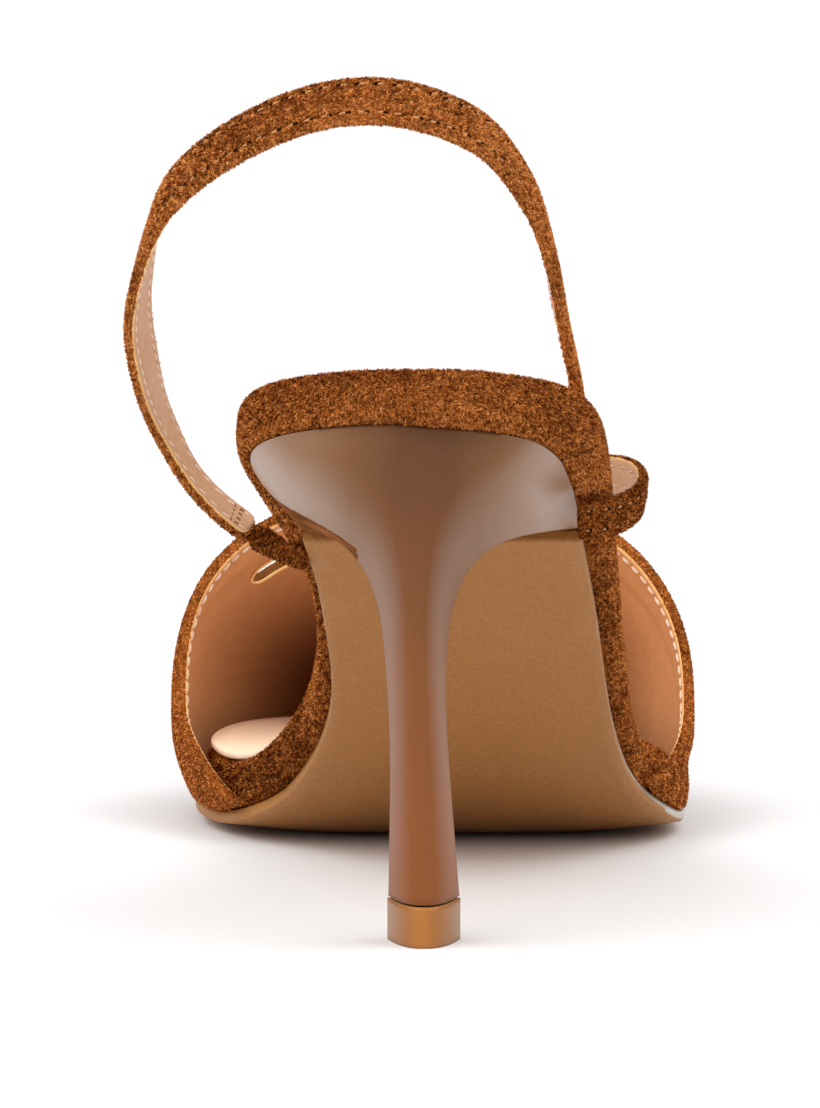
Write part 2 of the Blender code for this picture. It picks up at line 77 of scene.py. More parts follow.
def add_node(tree, kind, inputs=None, **settings):
    """One node of a tree with its settings and what feeds its inputs."""
    node = tree.nodes.new(kind)
    for name, value in settings.items():
        setattr(node, name, value)
    for key, value in (inputs or {}).items():
        feed(tree, node, key, value)
    return node


def rescaled(tree, value, start, end, low=0.0, high=1.0, easing="LINEAR"):
    """A value that runs from low to high while the given one runs from start to end."""
    return add_node(tree, "ShaderNodeMapRange", {
        "Value": value, "From Min": start, "From Max": end, "To Min": low, "To Max": high},
        interpolation_type=easing)


def maths(tree, operation, *values, **settings):
    return add_node(tree, "ShaderNodeMath", dict(enumerate(values)), operation=operation, **settings)


def split(tree, vector):
    return add_node(tree, "ShaderNodeSeparateXYZ", {"Vector": vector}).outputs


def add_piece(name, data):
    piece = bpy.data.objects.new(name, data)
    bpy.context.scene.collection.objects.link(piece)
    return piece


def cover(piece, *finishes):
    for finish in finishes:
        piece.data.materials.append(finish)


def new_material(name, **values):
    """A material with its tree and its Principled shader, whose plain values are set by name."""
    material = bpy.data.materials.new(name)
    material.use_nodes = True
    shader = material.node_tree.nodes["Principled BSDF"]
    for socket, value in values.items():
        shader.inputs[socket.replace("_", " ")].default_value = value
    return material, material.node_tree, shader


studio = bpy.data.worlds.new("soft studio")
bpy.context.scene.world = studio
studio.use_nodes = True
light = studio.node_tree
light.nodes.clear()
direction = add_node(light, "ShaderNodeTexCoord").outputs["Generated"]
height = split(light, direction)["Z"]
level = rescaled(light, height, 0.0, LIGHT_FULL_RISE, LIGHT_AT_HORIZON, LIGHT_AT_TOP, "SMOOTHSTEP")
for toward, strength in PANELS:
    facing = add_node(light, "ShaderNodeVectorMath", {0: direction, 1: toward}, operation="DOT_PRODUCT")
    panel = rescaled(light, facing.outputs["Value"], PANEL_EDGE, PANEL_CORE, 0.0, strength, "SMOOTHSTEP")
    level = maths(light, "ADD", level, panel)
background = add_node(light, "ShaderNodeBackground", {"Strength": level})
add_node(light, "ShaderNodeOutputWorld", {"Surface": background})

floor_mesh = bpy.data.meshes.new("floor")
floor_edit = bmesh.new()
bmesh.ops.create_grid(floor_edit, x_segments=1, y_segments=1, size=FLOOR_SIZE / 2)
floor_edit.to_mesh(floor_mesh)
floor_edit.free()
floor = add_piece("floor", floor_mesh)
floor_paint, _, _ = new_material("pale floor", Base_Color=(*FLOOR_COLOUR, 1.0), Roughness=0.9)
cover(floor, floor_paint)

camera = add_piece("camera", bpy.data.cameras.new("camera"))
backwards = Vector((0.0, -np.cos(CAMERA_RISE), np.sin(CAMERA_RISE)))
camera.location = CAMERA_TARGET + backwards * CAMERA_DISTANCE
camera.rotation_mode = "QUATERNION"
camera.rotation_quaternion = (-backwards).to_track_quat("-Z", "Y")
camera.data.lens = FOCAL_PIXELS / PHOTO_HEIGHT * camera.data.sensor_width
bpy.context.scene.camera = camera
bpy.context.scene.view_settings.view_transform = "Standard"

# Top lift
# The amber wear plastic under the stiletto, moulded with a soft lower edge and pressed on with a pin.
# Its middle is painted a clearer amber: a painted glow that stands for light passing through the plastic
# there.
MM = 0.001
MERGE_DISTANCE = 0.002
PAIRED_BEND = 0.6
PAIRED_SKEW = 1.2
SHARP_ANGLE = np.radians(35)
KEPT_ANGLE = np.radians(60)
LIFT_REACH = 5.4
LIFT_CLOUD = 1.2
AMBER_WITH_PAINTED_GLOW = (
    (0.0, (0.43, 0.152, 0.021)),
    (0.45, (0.33, 0.118, 0.017)),
    (1.0, (0.28, 0.110, 0.022)),
)


def merged_copy(node, name):
    """A solid's mesh as one joined surface, with its triangles paired into four-sided faces."""
    edit = bmesh.new()
    edit.from_mesh(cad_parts[node].data)
    bmesh.ops.remove_doubles(edit, verts=edit.verts, dist=MERGE_DISTANCE * MM)
    bmesh.ops.join_triangles(
        edit, faces=edit.faces, angle_face_threshold=PAIRED_BEND, angle_shape_threshold=PAIRED_SKEW)
    mesh = bpy.data.meshes.new(name)
    edit.to_mesh(mesh)
    edit.free()
    return add_piece(name, mesh)


def plain(piece):
    """The piece with its modifiers turned into a plain mesh."""
    evaluated = piece.evaluated_get(bpy.context.evaluated_depsgraph_get())
    mesh = bpy.data.meshes.new_from_object(evaluated)
    piece.modifiers.clear()
    piece.data = mesh
    return piece


def softened(piece):
    """The piece as a plain mesh that is shaded smooth, but for its sharp edges."""
    mesh = plain(piece).data
    mesh.shade_smooth()
    mesh.set_sharp_from_angle(angle=KEPT_ANGLE)
    return piece


def rounded(node, name, crease, levels=2):
    """A copy of a solid whose surface flows, with its sharp edges held by a crease."""
    piece = merged_copy(node, name)
    edit = bmesh.new()
    edit.from_mesh(piece.data)
    held = edit.edges.layers.float.new("crease_edge")
    for edge in edit.edges:
        if edge.calc_face_angle(0.0) > SHARP_ANGLE:
            edge[held] = crease
    edit.to_mesh(piece.data)
    edit.free()
    flow = piece.modifiers.new("flow", "SUBSURF")
    flow.levels = flow.render_levels = levels
    return softened(piece)


def dress(piece, slot, *nodes):
    """The piece rides with the shoe and stands for its solids, which are hidden. Its slot is not used."""
    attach(piece, "root")
    if nodes:
        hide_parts(*nodes)


def on_piece(tree):
    return add_node(tree, "ShaderNodeTexCoord").outputs["Object"]


def noise(tree, spot, scale, detail=2, **more):
    """Soft random patches, about as many to a metre as the scale says."""
    return add_node(tree, "ShaderNodeTexNoise", {"Vector": spot, "Scale": scale, "Detail": detail, **more})


def ramp(tree, value, *stops):
    """Colours along a value, each stop a place and a colour."""
    node = add_node(tree, "ShaderNodeValToRGB", {"Fac": value})
    elements = node.color_ramp.elements
    while len(elements) < len(stops):
        elements.new(0.5)
    for element, (place, colour) in zip(elements, stops):
        element.position = place
        element.color = (*colour, 1.0)
    return node


def add_relief(tree, shader, height, strength, depth):
    """A fine relief on the surface, its depth in millimetres."""
    bump = add_node(tree, "ShaderNodeBump", {"Height": height, "Strength": strength, "Distance": depth * MM})
    feed(tree, shader, "Normal", bump)


def amber_plastic():
    material, tree, shader = new_material(
        "amber top lift", Roughness=0.4, Specular_IOR_Level=0.3, Coat_Weight=0.25, Coat_Roughness=0.15)
    spot = on_piece(tree)
    off_middle = maths(tree, "ABSOLUTE", split(tree, spot)["X"])
    cloud = rescaled(tree, noise(tree, spot, 260, 3), 0.0, 1.0, -LIFT_CLOUD * MM, LIFT_CLOUD * MM)
    share = rescaled(tree, maths(tree, "ADD", off_middle, cloud), 0.0, LIFT_REACH * MM)
    # Painted glow: the amber is paler towards the middle of the lift and darker at its edges.
    feed(tree, shader, "Base Color", ramp(tree, share, *AMBER_WITH_PAINTED_GLOW))
    add_relief(tree, shader, noise(tree, spot, 5200), strength=0.08, depth=0.2)
    return material


top_lift = rounded("heel_tip", "top_lift", crease=1.0, levels=3)
cover(top_lift, amber_plastic())
dress(top_lift, "top_lift", "heel_tip")

# Heel
# The moulded stiletto with its horseshoe seat and hollow breast, sprayed with a nude taupe lacquer that is
# polished like a nail, and nailed to the seat from inside. At its inner corner a brown patch lies over the
# lacquer.
HEEL_REACH = 26.0
LACQUER_FOOT = 6.0
LACQUER_TOP = 75.0
LACQUER_CLOUD = 10.0
# Lacquer colour up the heel, from its foot to its seat, darkened by painted shade towards the seat.
LACQUER_WITH_PAINTED_SHADE = (
    (0.0, (0.250, 0.087, 0.030)),
    (0.5, (0.232, 0.085, 0.033)),
    (1.0, (0.154, 0.067, 0.032)),
)
# Where the painted highlight pales the flanks, and its colour.
FLANK_FROM = 4.0
FLANK_TO = 17.0
FLANK_PAINTED_HIGHLIGHT = (0.270, 0.130, 0.060)
GLOSS_FROM = 0.36
GLOSS_TO = 0.78
GLOSS_LEAST = 0.06
SEAT_FROM = 11.0
SEAT_TO = 21.0
SEAT_GLOSS = 0.3
# How well the lacquer is polished across the heel, from its inner to its outer edge.
POLISH = ((0.08, 1.0), (0.29, 0.35), (0.40, 0.42), (0.66, 0.40), (0.85, 1.0), (0.87, 1.0), (0.935, 0.6))
PATCH_FROM = -19.4
PATCH_TO = -9.9
PATCH_TOP = 63.1
PATCH_FALL = 0.558
GRAIN_DEPTH = 0.2
MOTTLE_SHARE = 0.55


def taupe_lacquer():
    """Lacquer with painted shade that darkens it towards the seat and a painted highlight that makes its
    flanks paler; it gleams most where it turns away.
    """
    material, tree, shader = new_material(
        "taupe lacquer", Roughness=0.4, Specular_IOR_Level=0.0, Coat_Roughness=0.36, Coat_IOR=2.2)
    spot = on_piece(tree)
    parts = split(tree, spot)
    across, rise = parts["X"], parts["Z"]
    cloud = rescaled(tree, noise(tree, spot, 70), 0.0, 1.0, -LACQUER_CLOUD * MM, LACQUER_CLOUD * MM)
    share = rescaled(tree, maths(tree, "ADD", rise, cloud), LACQUER_FOOT * MM, LACQUER_TOP * MM)
    off_middle = maths(tree, "ABSOLUTE", across)
    # Painted shade and a painted highlight mixed into the lacquer's colour.
    lacquer_with_painted_light = add_node(tree, "ShaderNodeMix", {
        "Factor": rescaled(tree, off_middle, FLANK_FROM * MM, FLANK_TO * MM),
        6: ramp(tree, share, *LACQUER_WITH_PAINTED_SHADE), 7: (*FLANK_PAINTED_HIGHLIGHT, 1.0)}, data_type="RGBA")
    feed(tree, shader, "Base Color", lacquer_with_painted_light.outputs[2])
    edge_on = add_node(tree, "ShaderNodeLayerWeight", {"Blend": 0.5}).outputs["Facing"]
    gloss = rescaled(tree, edge_on, GLOSS_FROM, GLOSS_TO, GLOSS_LEAST, 1.0)
    width_share = rescaled(tree, across, -HEEL_REACH * MM, HEEL_REACH * MM)
    polish = ramp(tree, width_share, *[(place, (shine, shine, shine)) for place, shine in POLISH])
    seat = rescaled(tree, off_middle, SEAT_FROM * MM, SEAT_TO * MM, 0.0, SEAT_GLOSS)
    feed(tree, shader, "Coat Weight", maths(tree, "MULTIPLY_ADD", gloss, polish, seat, use_clamp=True))
    add_relief(tree, shader, noise(tree, spot, 320, 1), strength=0.05, depth=0.6)
    return material


def add_sockets(tree, way, **kinds):
    """Named inputs or outputs of a tree, each with its kind."""
    for name, kind in kinds.items():
        tree.interface.new_socket(name, in_out=way, socket_type=f"NodeSocket{kind}")


def leather_grain():
    """Shared effect: the pores and soft mottle of smooth leather, as a height and a tone."""
    group = bpy.data.node_groups.new("leather grain", "ShaderNodeTree")
    add_sockets(group, "INPUT", Pores="Float", Mottle="Float")
    add_sockets(group, "OUTPUT", Height="Float", Tone="Float")
    given = add_node(group, "NodeGroupInput").outputs
    spot = on_piece(group)
    pores = noise(group, spot, given["Pores"], 3, Roughness=0.65)
    mottle = noise(group, spot, given["Mottle"])
    tone = add_node(group, "ShaderNodeMix", {0: MOTTLE_SHARE, 2: pores, 3: mottle}, data_type="FLOAT")
    add_node(group, "NodeGroupOutput", {"Height": pores, "Tone": tone})
    return group


GRAIN = leather_grain()


def grained(name, dark, pale, pores, mottle, relief, rough, shine=0.5, **values):
    """Smooth leather: a colour between two tones, with pores and mottle so many to a metre."""
    material, tree, shader = new_material(name, Roughness=rough, Specular_IOR_Level=shine, **values)
    grain = add_node(tree, "ShaderNodeGroup", {"Pores": pores, "Mottle": mottle}, node_tree=GRAIN).outputs
    feed(tree, shader, "Base Color", ramp(tree, grain["Tone"], (0.3, dark), (0.7, pale)))
    add_relief(tree, shader, grain["Height"], relief, GRAIN_DEPTH)
    return material


heel = rounded("heel", "lacquered_heel", crease=1.0, levels=3)
cover(heel, taupe_lacquer(), grained(
    "brown corner patch", (0.090, 0.027, 0.008), (0.330, 0.125, 0.048), pores=640, mottle=240,
    relief=1.0, rough=0.9, shine=0.0))
# A brown patch with a leather grain on the heel's inner corner, below a sloping line.
for face in heel.data.polygons:
    x, _, z = face.center / MM
    face.material_index = int(x < PATCH_TO and z < PATCH_TOP - PATCH_FALL * (x - PATCH_FROM))
dress(heel, "lacquer", "heel")

# Outsole
# A thin tan sole with a fine satin grain, cut flat across at the heel breast and glued on last. Its cut edge
# is trimmed smooth, and a painted highlight makes its upper half pale along the outer side.
EDGE_LIMIT = 0.55
PAINTED_HIGHLIGHT_SIDE = 0.3


def table(names, rows):
    """Named columns from the rows of a short table."""
    return dict(zip(names.split(), np.array(rows, float).T))


SOLE_LINE = table("y z", (
    (-16, 77.7), (8, 69.3), (31, 57.2), (55, 40.3), (80, 21.3), (100, 8.2),
    (114, 2), (124, 0), (160, 0), (185, 1), (206, 2.8), (226, 5.6),
))
PAINTED_HIGHLIGHT_LINE = table("y rise", ((60, 0.9), (92, 1.3), (112, 2.2), (125, 2.5), (170, 2.5), (216, 1.3)))


def hermite(xs, ys, slopes, at):
    """Cubic pieces through the rows with the given slopes; ys and slopes may be vectors."""
    k = np.clip(np.searchsorted(xs, at, side="right") - 1, 0, len(xs) - 2)
    step = xs[k + 1] - xs[k]
    u = (at - xs[k]) / step
    if ys.ndim > 1:
        u, step = u[..., None], step[..., None]
    value = ys[k] * (1 + 2 * u) * (1 - u) ** 2 + ys[k + 1] * u ** 2 * (3 - 2 * u)
    return value + step * u * (1 - u) * (slopes[k] * (1 - u) - slopes[k + 1] * u)


def smooth(xs, ys, at):
    """A curve through the rows of a table that never overshoots them."""
    step, rise = np.diff(xs), np.diff(ys) / np.diff(xs)
    product = rise[1:] * rise[:-1]
    near, far = step[1:] + 2 * step[:-1], 2 * step[1:] + step[:-1]
    blend = near * rise[1:] + far * rise[:-1]
    slopes = np.r_[rise[0], np.zeros(len(xs) - 2), rise[-1]]
    rising = product > 0
    slopes[1:-1][rising] = ((near + far) * product)[rising] / blend[rising]
    return hermite(xs, ys, slopes, np.clip(np.asarray(at, float), xs[0], xs[-1]))


def column(rows, name, at):
    return smooth(rows["y"], rows[name], at)


def sole_slope(y):
    return column(SOLE_LINE, "z", y + 0.5) - column(SOLE_LINE, "z", y - 0.5)


outsole = rounded("outsole", "tan_outsole", crease=0.9)
cover(outsole, grained(
    "tan satin sole", (0.312, 0.126, 0.030), (0.438, 0.190, 0.052), pores=4200, mottle=1400, relief=0.3,
    rough=0.45, shine=0.2))
cover(outsole, grained(
    "sole edge with painted highlight", (0.36, 0.29, 0.23), (0.52, 0.44, 0.36), pores=1500, mottle=220, relief=0.2,
    rough=0.35, Coat_Weight=0.3))
# Painted highlight: faces of the outer edge above the line are given the pale material.
for face in outsole.data.polygons:
    _, y, z = face.center / MM
    sole_up = Vector((0.0, -sole_slope(y), 1.0)).normalized()
    rise = (z - column(SOLE_LINE, "z", y)) * sole_up.z
    on_edge = abs(face.normal.dot(sole_up)) < EDGE_LIMIT and face.normal.x > PAINTED_HIGHLIGHT_SIDE
    face.material_index = int(on_edge and rise > column(PAINTED_HIGHLIGHT_LINE, "rise", y))
dress(outsole, "sole_leather", "outsole")

# Footbed
# The insole board, wrapped in tan suede that shows as the thick soft rim round seat and waist. The nap is
# real fibre here: short and combed about, with painted shade at its roots and a painted highlight along its
# tips.
BALL_FROM = 88.0
BALL_PAINTED_SHADE = -0.14
SUEDE_DARK = (0.060, 0.0110, 0.0010)
SUEDE_MIDDLE = (0.428, 0.122, 0.020)
SUEDE_PALE = (0.900, 0.375, 0.110)
BRUSHED_TONE = 0.1
FIBRE_LENGTH = 0.56
FIBRE_WIDTH = 0.2
FIBRE_LIFT = np.radians(40)
FIBRE_LIFTS = (-1.7, -0.3)
FIBRE_LENGTHS = (0.55, 1.15)
FIBRE_ROLL = 0.6
FIBRE_TURN = 0.35
FIBRE_TONE = 0.36
SWIRLS = 1100.0
SWIRL_STRENGTH = 5.0
TUFTS = 1900.0
TUFT_TONES = (-0.08, 0.48)
COVER_REACH = 1.3
CLEARANCE = 0.05


def suede_colour():
    """Shared effect: the colour of brushed suede from a tone, from dark to pale; the painted shade of the
    roots and the painted highlight of the tips reach it as tones.
    """
    group = bpy.data.node_groups.new("suede colour", "ShaderNodeTree")
    add_sockets(group, "INPUT", Tone="Float")
    add_sockets(group, "OUTPUT", Color="Color")
    given = add_node(group, "NodeGroupInput").outputs
    brushed = noise(group, on_piece(group), 95, 3, Distortion=0.6)
    shift = rescaled(group, brushed, 0.3, 0.7, -BRUSHED_TONE, BRUSHED_TONE)
    tone = maths(group, "ADD", given["Tone"], shift, use_clamp=True)
    colour = ramp(group, tone, (0.08, SUEDE_DARK), (0.5, SUEDE_MIDDLE), (0.95, SUEDE_PALE))
    add_node(group, "NodeGroupOutput", {"Color": colour})
    return group


SUEDE_COLOUR = suede_colour()


def dye(tree, shader, tone):
    """Gives a material the suede colour of a tone."""
    paint = add_node(tree, "ShaderNodeGroup", {"Tone": tone}, node_tree=SUEDE_COLOUR)
    feed(tree, shader, "Base Color", paint)


def suede_skin_in_painted_shade():
    """The hide under the nap, its own brown darkened by painted shade that stands for the shadow between the
    fibres.
    """
    material, tree, shader = new_material("suede skin in painted shade", Roughness=0.95, Specular_IOR_Level=0.05)
    tufts = noise(tree, on_piece(tree), 1300, 3)
    # Painted shade: the skin's tones sit low on the suede ramp.
    dye(tree, shader, rescaled(tree, tufts, 0.3, 0.7, 0.16, 0.5))
    add_relief(tree, shader, tufts, strength=0.8, depth=0.6)
    return material


def suede_fibre():
    """The raised nap, each fibre with its own tone, painted shade at its root and a painted highlight
    towards its tip.
    """
    material, tree, shader = new_material("suede fibre", Roughness=0.9, Specular_IOR_Level=0.05)
    own, tip = [add_node(tree, "ShaderNodeAttribute", attribute_name=name).outputs["Fac"]
                for name in ("nap_tone", "nap_tip")]
    # Painted shade at the root of each fibre and a painted highlight towards its tip.
    dye(tree, shader, maths(tree, "ADD", own, rescaled(tree, tip, 0.0, 1.0, -0.12, 0.18)))
    return material


SUEDE_SKIN_IN_PAINTED_SHADE, SUEDE_FIBRE = suede_skin_in_painted_shade(), suede_fibre()


def sized_tree(name, **kinds):
    """A geometry tree with named inputs for its sizes, and what it is given."""
    tree = bpy.data.node_groups.new(name, "GeometryNodeTree")
    add_sockets(tree, "INPUT", Geometry="Geometry", **kinds)
    add_sockets(tree, "OUTPUT", Geometry="Geometry")
    return tree, add_node(tree, "NodeGroupInput").outputs


def marked(tree, name, kind="FLOAT"):
    return add_node(tree, "GeometryNodeInputNamedAttribute", {"Name": name}, data_type=kind)


def stored(tree, geometry, name, value, domain):
    return add_node(tree, "GeometryNodeStoreNamedAttribute", {
        "Geometry": geometry, "Name": name, "Value": value}, data_type="FLOAT", domain=domain)


def laid_out(tree, points, shape, first, second, turn, size):
    """A shape at every point: two of its axes laid along ways, then turned and sized by X, Y and Z."""
    lying = add_node(
        tree, "FunctionNodeAxesToRotation", {"Primary Axis": first[1], "Secondary Axis": second[1]},
        primary_axis=first[0], secondary_axis=second[0])
    angles, scale = [add_node(tree, "ShaderNodeCombineXYZ", parts) for parts in (turn, size)]
    turned = add_node(tree, "FunctionNodeEulerToRotation", {"Euler": angles})
    standing = add_node(
        tree, "FunctionNodeRotateRotation", {"Rotation": lying, "Rotate By": turned}, rotation_space="LOCAL")
    return add_node(tree, "GeometryNodeInstanceOnPoints", {
        "Points": points, "Instance": shape, "Rotation": standing, "Scale": scale})


def made_real(tree, instances, finish):
    """Ends a tree: its instances become one plain mesh in a finish."""
    real = add_node(tree, "GeometryNodeRealizeInstances", {"Geometry": instances})
    finished = add_node(tree, "GeometryNodeSetMaterial", {"Geometry": real, "Material": finish})
    add_node(tree, "NodeGroupOutput", {"Geometry": finished})
    return tree


def nap_tree():
    """Geometry nodes that stand short combed fibres on the faces that carry the nap."""
    tree, given = sized_tree(
        "suede nap", Fibres="Float", Length="Float", Width="Float", Lift="Float", Tone="Float",
        Comb="Vector", Seed="Int", Finish="Material")

    def chance(low, high, seed):
        drawn = add_node(tree, "FunctionNodeRandomValue", {2: low, 3: high, "Seed": seed}, data_type="FLOAT")
        return drawn.outputs[1]

    roots = add_node(tree, "GeometryNodeDistributePointsOnFaces", {
        "Mesh": given["Geometry"], "Seed": given["Seed"],
        "Density": maths(tree, "MULTIPLY", marked(tree, "nap"), given["Fibres"])})
    place = add_node(tree, "GeometryNodeInputPosition")
    flow = noise(tree, place, SWIRLS).outputs["Color"]
    for operation, key, value in (
            ("SUBTRACT", 1, (0.5, 0.5, 0.5)), ("SCALE", "Scale", SWIRL_STRENGTH), ("ADD", 1, given["Comb"])):
        flow = add_node(tree, "ShaderNodeVectorMath", {0: flow, key: value}, operation=operation)
    blade = add_node(tree, "GeometryNodeMeshCircle", {"Vertices": 3, "Radius": 2 / 3}, fill_type="NGON")
    rooted = add_node(tree, "GeometryNodeTransform", {"Geometry": blade, "Translation": (1 / 3, 0.0, 0.0)})
    tipped = stored(tree, rooted, "nap_tip", split(tree, place)["X"], "POINT")
    lift = maths(tree, "MULTIPLY", given["Lift"], chance(*FIBRE_LIFTS, 1))
    turn = {"X": chance(-FIBRE_ROLL, FIBRE_ROLL, 2), "Y": lift, "Z": chance(-FIBRE_TURN, FIBRE_TURN, 3)}
    length = maths(tree, "MULTIPLY", given["Length"], chance(*FIBRE_LENGTHS, 4))
    size = {"X": length, "Y": given["Width"], "Z": 1.0}
    fibres = laid_out(tree, roots, tipped, ("Z", roots.outputs["Normal"]), ("X", flow), turn, size)
    tone = rescaled(tree, noise(tree, place, TUFTS), 0.3, 0.7, *TUFT_TONES)
    # Painted shade marked on the faces darkens the nap there.
    for part in (given["Tone"], chance(-FIBRE_TONE, FIBRE_TONE, 5), marked(tree, "nap_painted_shade")):
        tone = maths(tree, "ADD", tone, part)
    return made_real(tree, stored(tree, fibres, "nap_tone", tone, "INSTANCE"), given["Finish"])


NAP_TREE = nap_tree()


def grown(name, mesh, tree, **inputs):
    """A new piece that a geometry tree makes from a mesh, as a plain mesh of its own."""
    piece = add_piece(name, mesh.copy())
    nodes = piece.modifiers.new(tree.name, "NODES")
    nodes.node_group = tree
    for item in tree.interface.items_tree:
        if item.in_out == "INPUT" and item.name in inputs:
            nodes[item.identifier] = inputs[item.name]
    return plain(piece)


def mark_faces(piece, name, values):
    piece.data.attributes.new(name, "FLOAT", "FACE").data.foreach_set("value", values)


def mark_nap(piece, shares, *covers):
    """Marks how much nap each face carries: its own share, or none where another solid lies on it."""
    surfaces = []
    for node in covers:
        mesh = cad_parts[node].data
        corners = [vertex.co for vertex in mesh.vertices]
        surfaces.append(BVHTree.FromPolygons(corners, [face.vertices[:] for face in mesh.polygons]))
    carried = []
    for face, share in zip(piece.data.polygons, shares):
        start = face.center + face.normal * (CLEARANCE * MM)
        covered = any(surface.ray_cast(start, face.normal, COVER_REACH * MM)[0] for surface in surfaces)
        carried.append(0.0 if covered else share)
    mark_faces(piece, "nap", carried)


def add_nap(name, piece, fibres, seed, comb, tone, length=FIBRE_LENGTH, width=FIBRE_WIDTH):
    nap = grown(name, piece.data, NAP_TREE, Fibres=fibres, Length=length * MM, Width=width * MM,
                Lift=FIBRE_LIFT, Tone=tone, Comb=comb, Seed=seed, Finish=SUEDE_FIBRE)
    dress(nap, "suede")


rim = rounded("footbed", "suede_rim", crease=0.15)
cover(rim, SUEDE_SKIN_IN_PAINTED_SHADE)
mark_nap(rim, [1.0] * len(rim.data.polygons), "outsole", "heel", "sock", "vamp")
# Painted shade: the nap on the rim's inner side at the ball is darker.
mark_faces(rim, "nap_painted_shade", [
    BALL_PAINTED_SHADE * (face.center.y > BALL_FROM * MM and face.center.x < 0) for face in rim.data.polygons])
add_nap("rim_nap", rim, fibres=35e6, seed=11, comb=(0.2, 0.0, -0.5), tone=0.19)
dress(rim, "suede", "footbed")

# Sock
# The pale peach lining leather on which the foot rests, a thin smooth sheet that is cut to the
# footbed's outline and glued on it.
sock = rounded("sock", "peach_sock", crease=0.95)
cover(sock, grained(
    "peach sock lining", (0.95, 0.69, 0.49), (0.99, 0.77, 0.57), pores=2600, mottle=300, relief=0.25,
    rough=0.55, shine=0.4))
dress(sock, "lining", "sock")

# Vamp
# The suede upper over the forefoot with its leather lining, lasted round the footbed onto the sole.
# The top edge is folded, shows the cut lining as a golden line and is stitched just inside it.
VAMP_WALL = 1.8
VAMP_GAP = 0.3
FOOT_HEIGHT = 2.3
ROUNDNESS = 2.35
BELLY_SHARE = 0.6
VAMP_TUCK = 2.6
VAMP_COLUMNS = 150
VAMP_ROWS = 90
TOE_CROWDING = 1.5
NOSE_RINGS = 5
NOSE_BULGE = 1.4
EDGE_STRIPS = 8
EDGE_BULGE = 0.75
GOLD_STRIPS = 2
TOE = 222.0
# Where painted shade darkens the lining towards the toe, and how dark.
LINING_PAINTED_SHADE_FROM = 154.0
LINING_PAINTED_SHADE_TO = 194.0
LINING_PAINTED_SHADE = (0.26, 0.15, 0.07)
CURVE_SAMPLES = 900
MARGINS = (0.0, VAMP_GAP, VAMP_GAP + VAMP_WALL / 2, VAMP_GAP + VAMP_WALL)
MEDIAL_SIDE = table("y x", (
    (-15.8, -5), (-13.6, -14.6), (-7, -23.6), (3, -27.6), (13, -27.2), (30, -22.7),
    (48, -17.2), (66, -16.1), (82, -18.2), (100, -24.2), (118, -30.6), (138, -35.2),
    (158, -33), (178, -25), (198, -16.2), (213, -9), (219.5, -4.8), (222, -1),
))
LATERAL_SIDE = table("y x", (
    (-15.8, 4), (-13.6, 11.4), (-7, 20.4), (4, 25.6), (15, 27.3), (30, 28.4), (48, 29.6),
    (70, 31.2), (90, 33.2), (104, 35.8), (116, 38.6), (128, 40.4), (141, 39.6),
    (157, 35.2), (177, 27.4), (197, 18), (213, 10.4), (219.5, 6.4), (222, 3),
))
CAMBER = 1.5
FLAT_SHARE = 0.5
CAMBER_LIMIT = 1.4
CAMBER_FADE = table("y share", ((70, 0.0), (112, 0.8), (125, 1.0), (170, 1.0), (204, 0.2), (216, 0.0)))
VAMP = table("y crown belly medial lateral", (
    (98, 84, 24, 1.6, 0.4),
    (111, 76, 22, 2, 0.8),
    (125, 67.5, 19.5, 2.6, 1),
    (138, 60.5, 18, 3, 1.6),
    (150, 54, 17, 4, 2),
    (162, 46, 16, 4, 2.2),
    (175, 37.5, 15.5, 3.4, 2),
    (190, 29.5, 13.5, 2.4, 1.6),
    (204, 23.5, 11.5, 1.5, 1.2),
    (214, 20, 10.5, 1, 0.9),
    (220, 17.2, 9.8, 0.6, 0.6),
    (224.1, 13, 9.2, 0.2, 0.2),
))
TOPLINE = table("share medial lateral", (
    (0, 151, 151),
    (0.2, 149.6, 149),
    (0.4, 145, 143.5),
    (0.6, 136, 131),
    (0.8, 123.5, 115),
    (1, 111, 100),
))
SLOT_STATION = 161.0
SLOT_WIDTH = 4.8
SLOT_REACH = 0.315
SLOT_DEPTH = 4.0
SLOT_END_HALF = 0.1
SLOT_SECTIONS = 81
BINDING_RADIUS = 0.26
BINDING_SIDES = 8
# Soft folds: where they run along the vamp, how far and how deep, and on which skin.
LINING_FOLDS = table("from_edge width depth", ((6.5, 1.6, 0.35), (10.5, 2.4, -0.30)))
LINING_FOLD_END = 1.1
LINING_FOLD_START = 1 / 3
SIDE_FOLD = {"share": 0.83, "width": 0.075, "depth": 0.75, "first": 102.0, "last": 150.0}


def unit(vectors):
    return vectors / np.linalg.norm(vectors, axis=-1)[..., None]


def length_along(run):
    """Distance along a run of points from its first point to each."""
    return np.r_[0, np.cumsum(np.linalg.norm(np.diff(run, axis=0), axis=1))]


def curve_through(points, shares):
    """Points at shares of the length of a smooth curve through the given points."""
    points = np.asarray(points, float)
    chord = np.diff(points, axis=0)
    step = np.linalg.norm(chord, axis=1) ** 0.5
    rise = chord / step[:, None]
    before, after = step[:-1, None], step[1:, None]
    inner = (rise[:-1] * after + rise[1:] * before) / (before + after)
    slopes = np.vstack([2 * rise[0] - inner[0], inner, 2 * rise[-1] - inner[-1]])
    knots = np.r_[0, np.cumsum(step)]
    run = hermite(knots, points, slopes, np.linspace(0, knots[-1], CURVE_SAMPLES))
    length = length_along(run)
    return np.stack([np.interp(shares * length[-1], length, axis) for axis in run.T], -1)


def way_round(loop):
    """Direction of a closed loop of points at each of them."""
    return unit(np.roll(loop, -1, axis=0) - np.roll(loop, 1, axis=0))


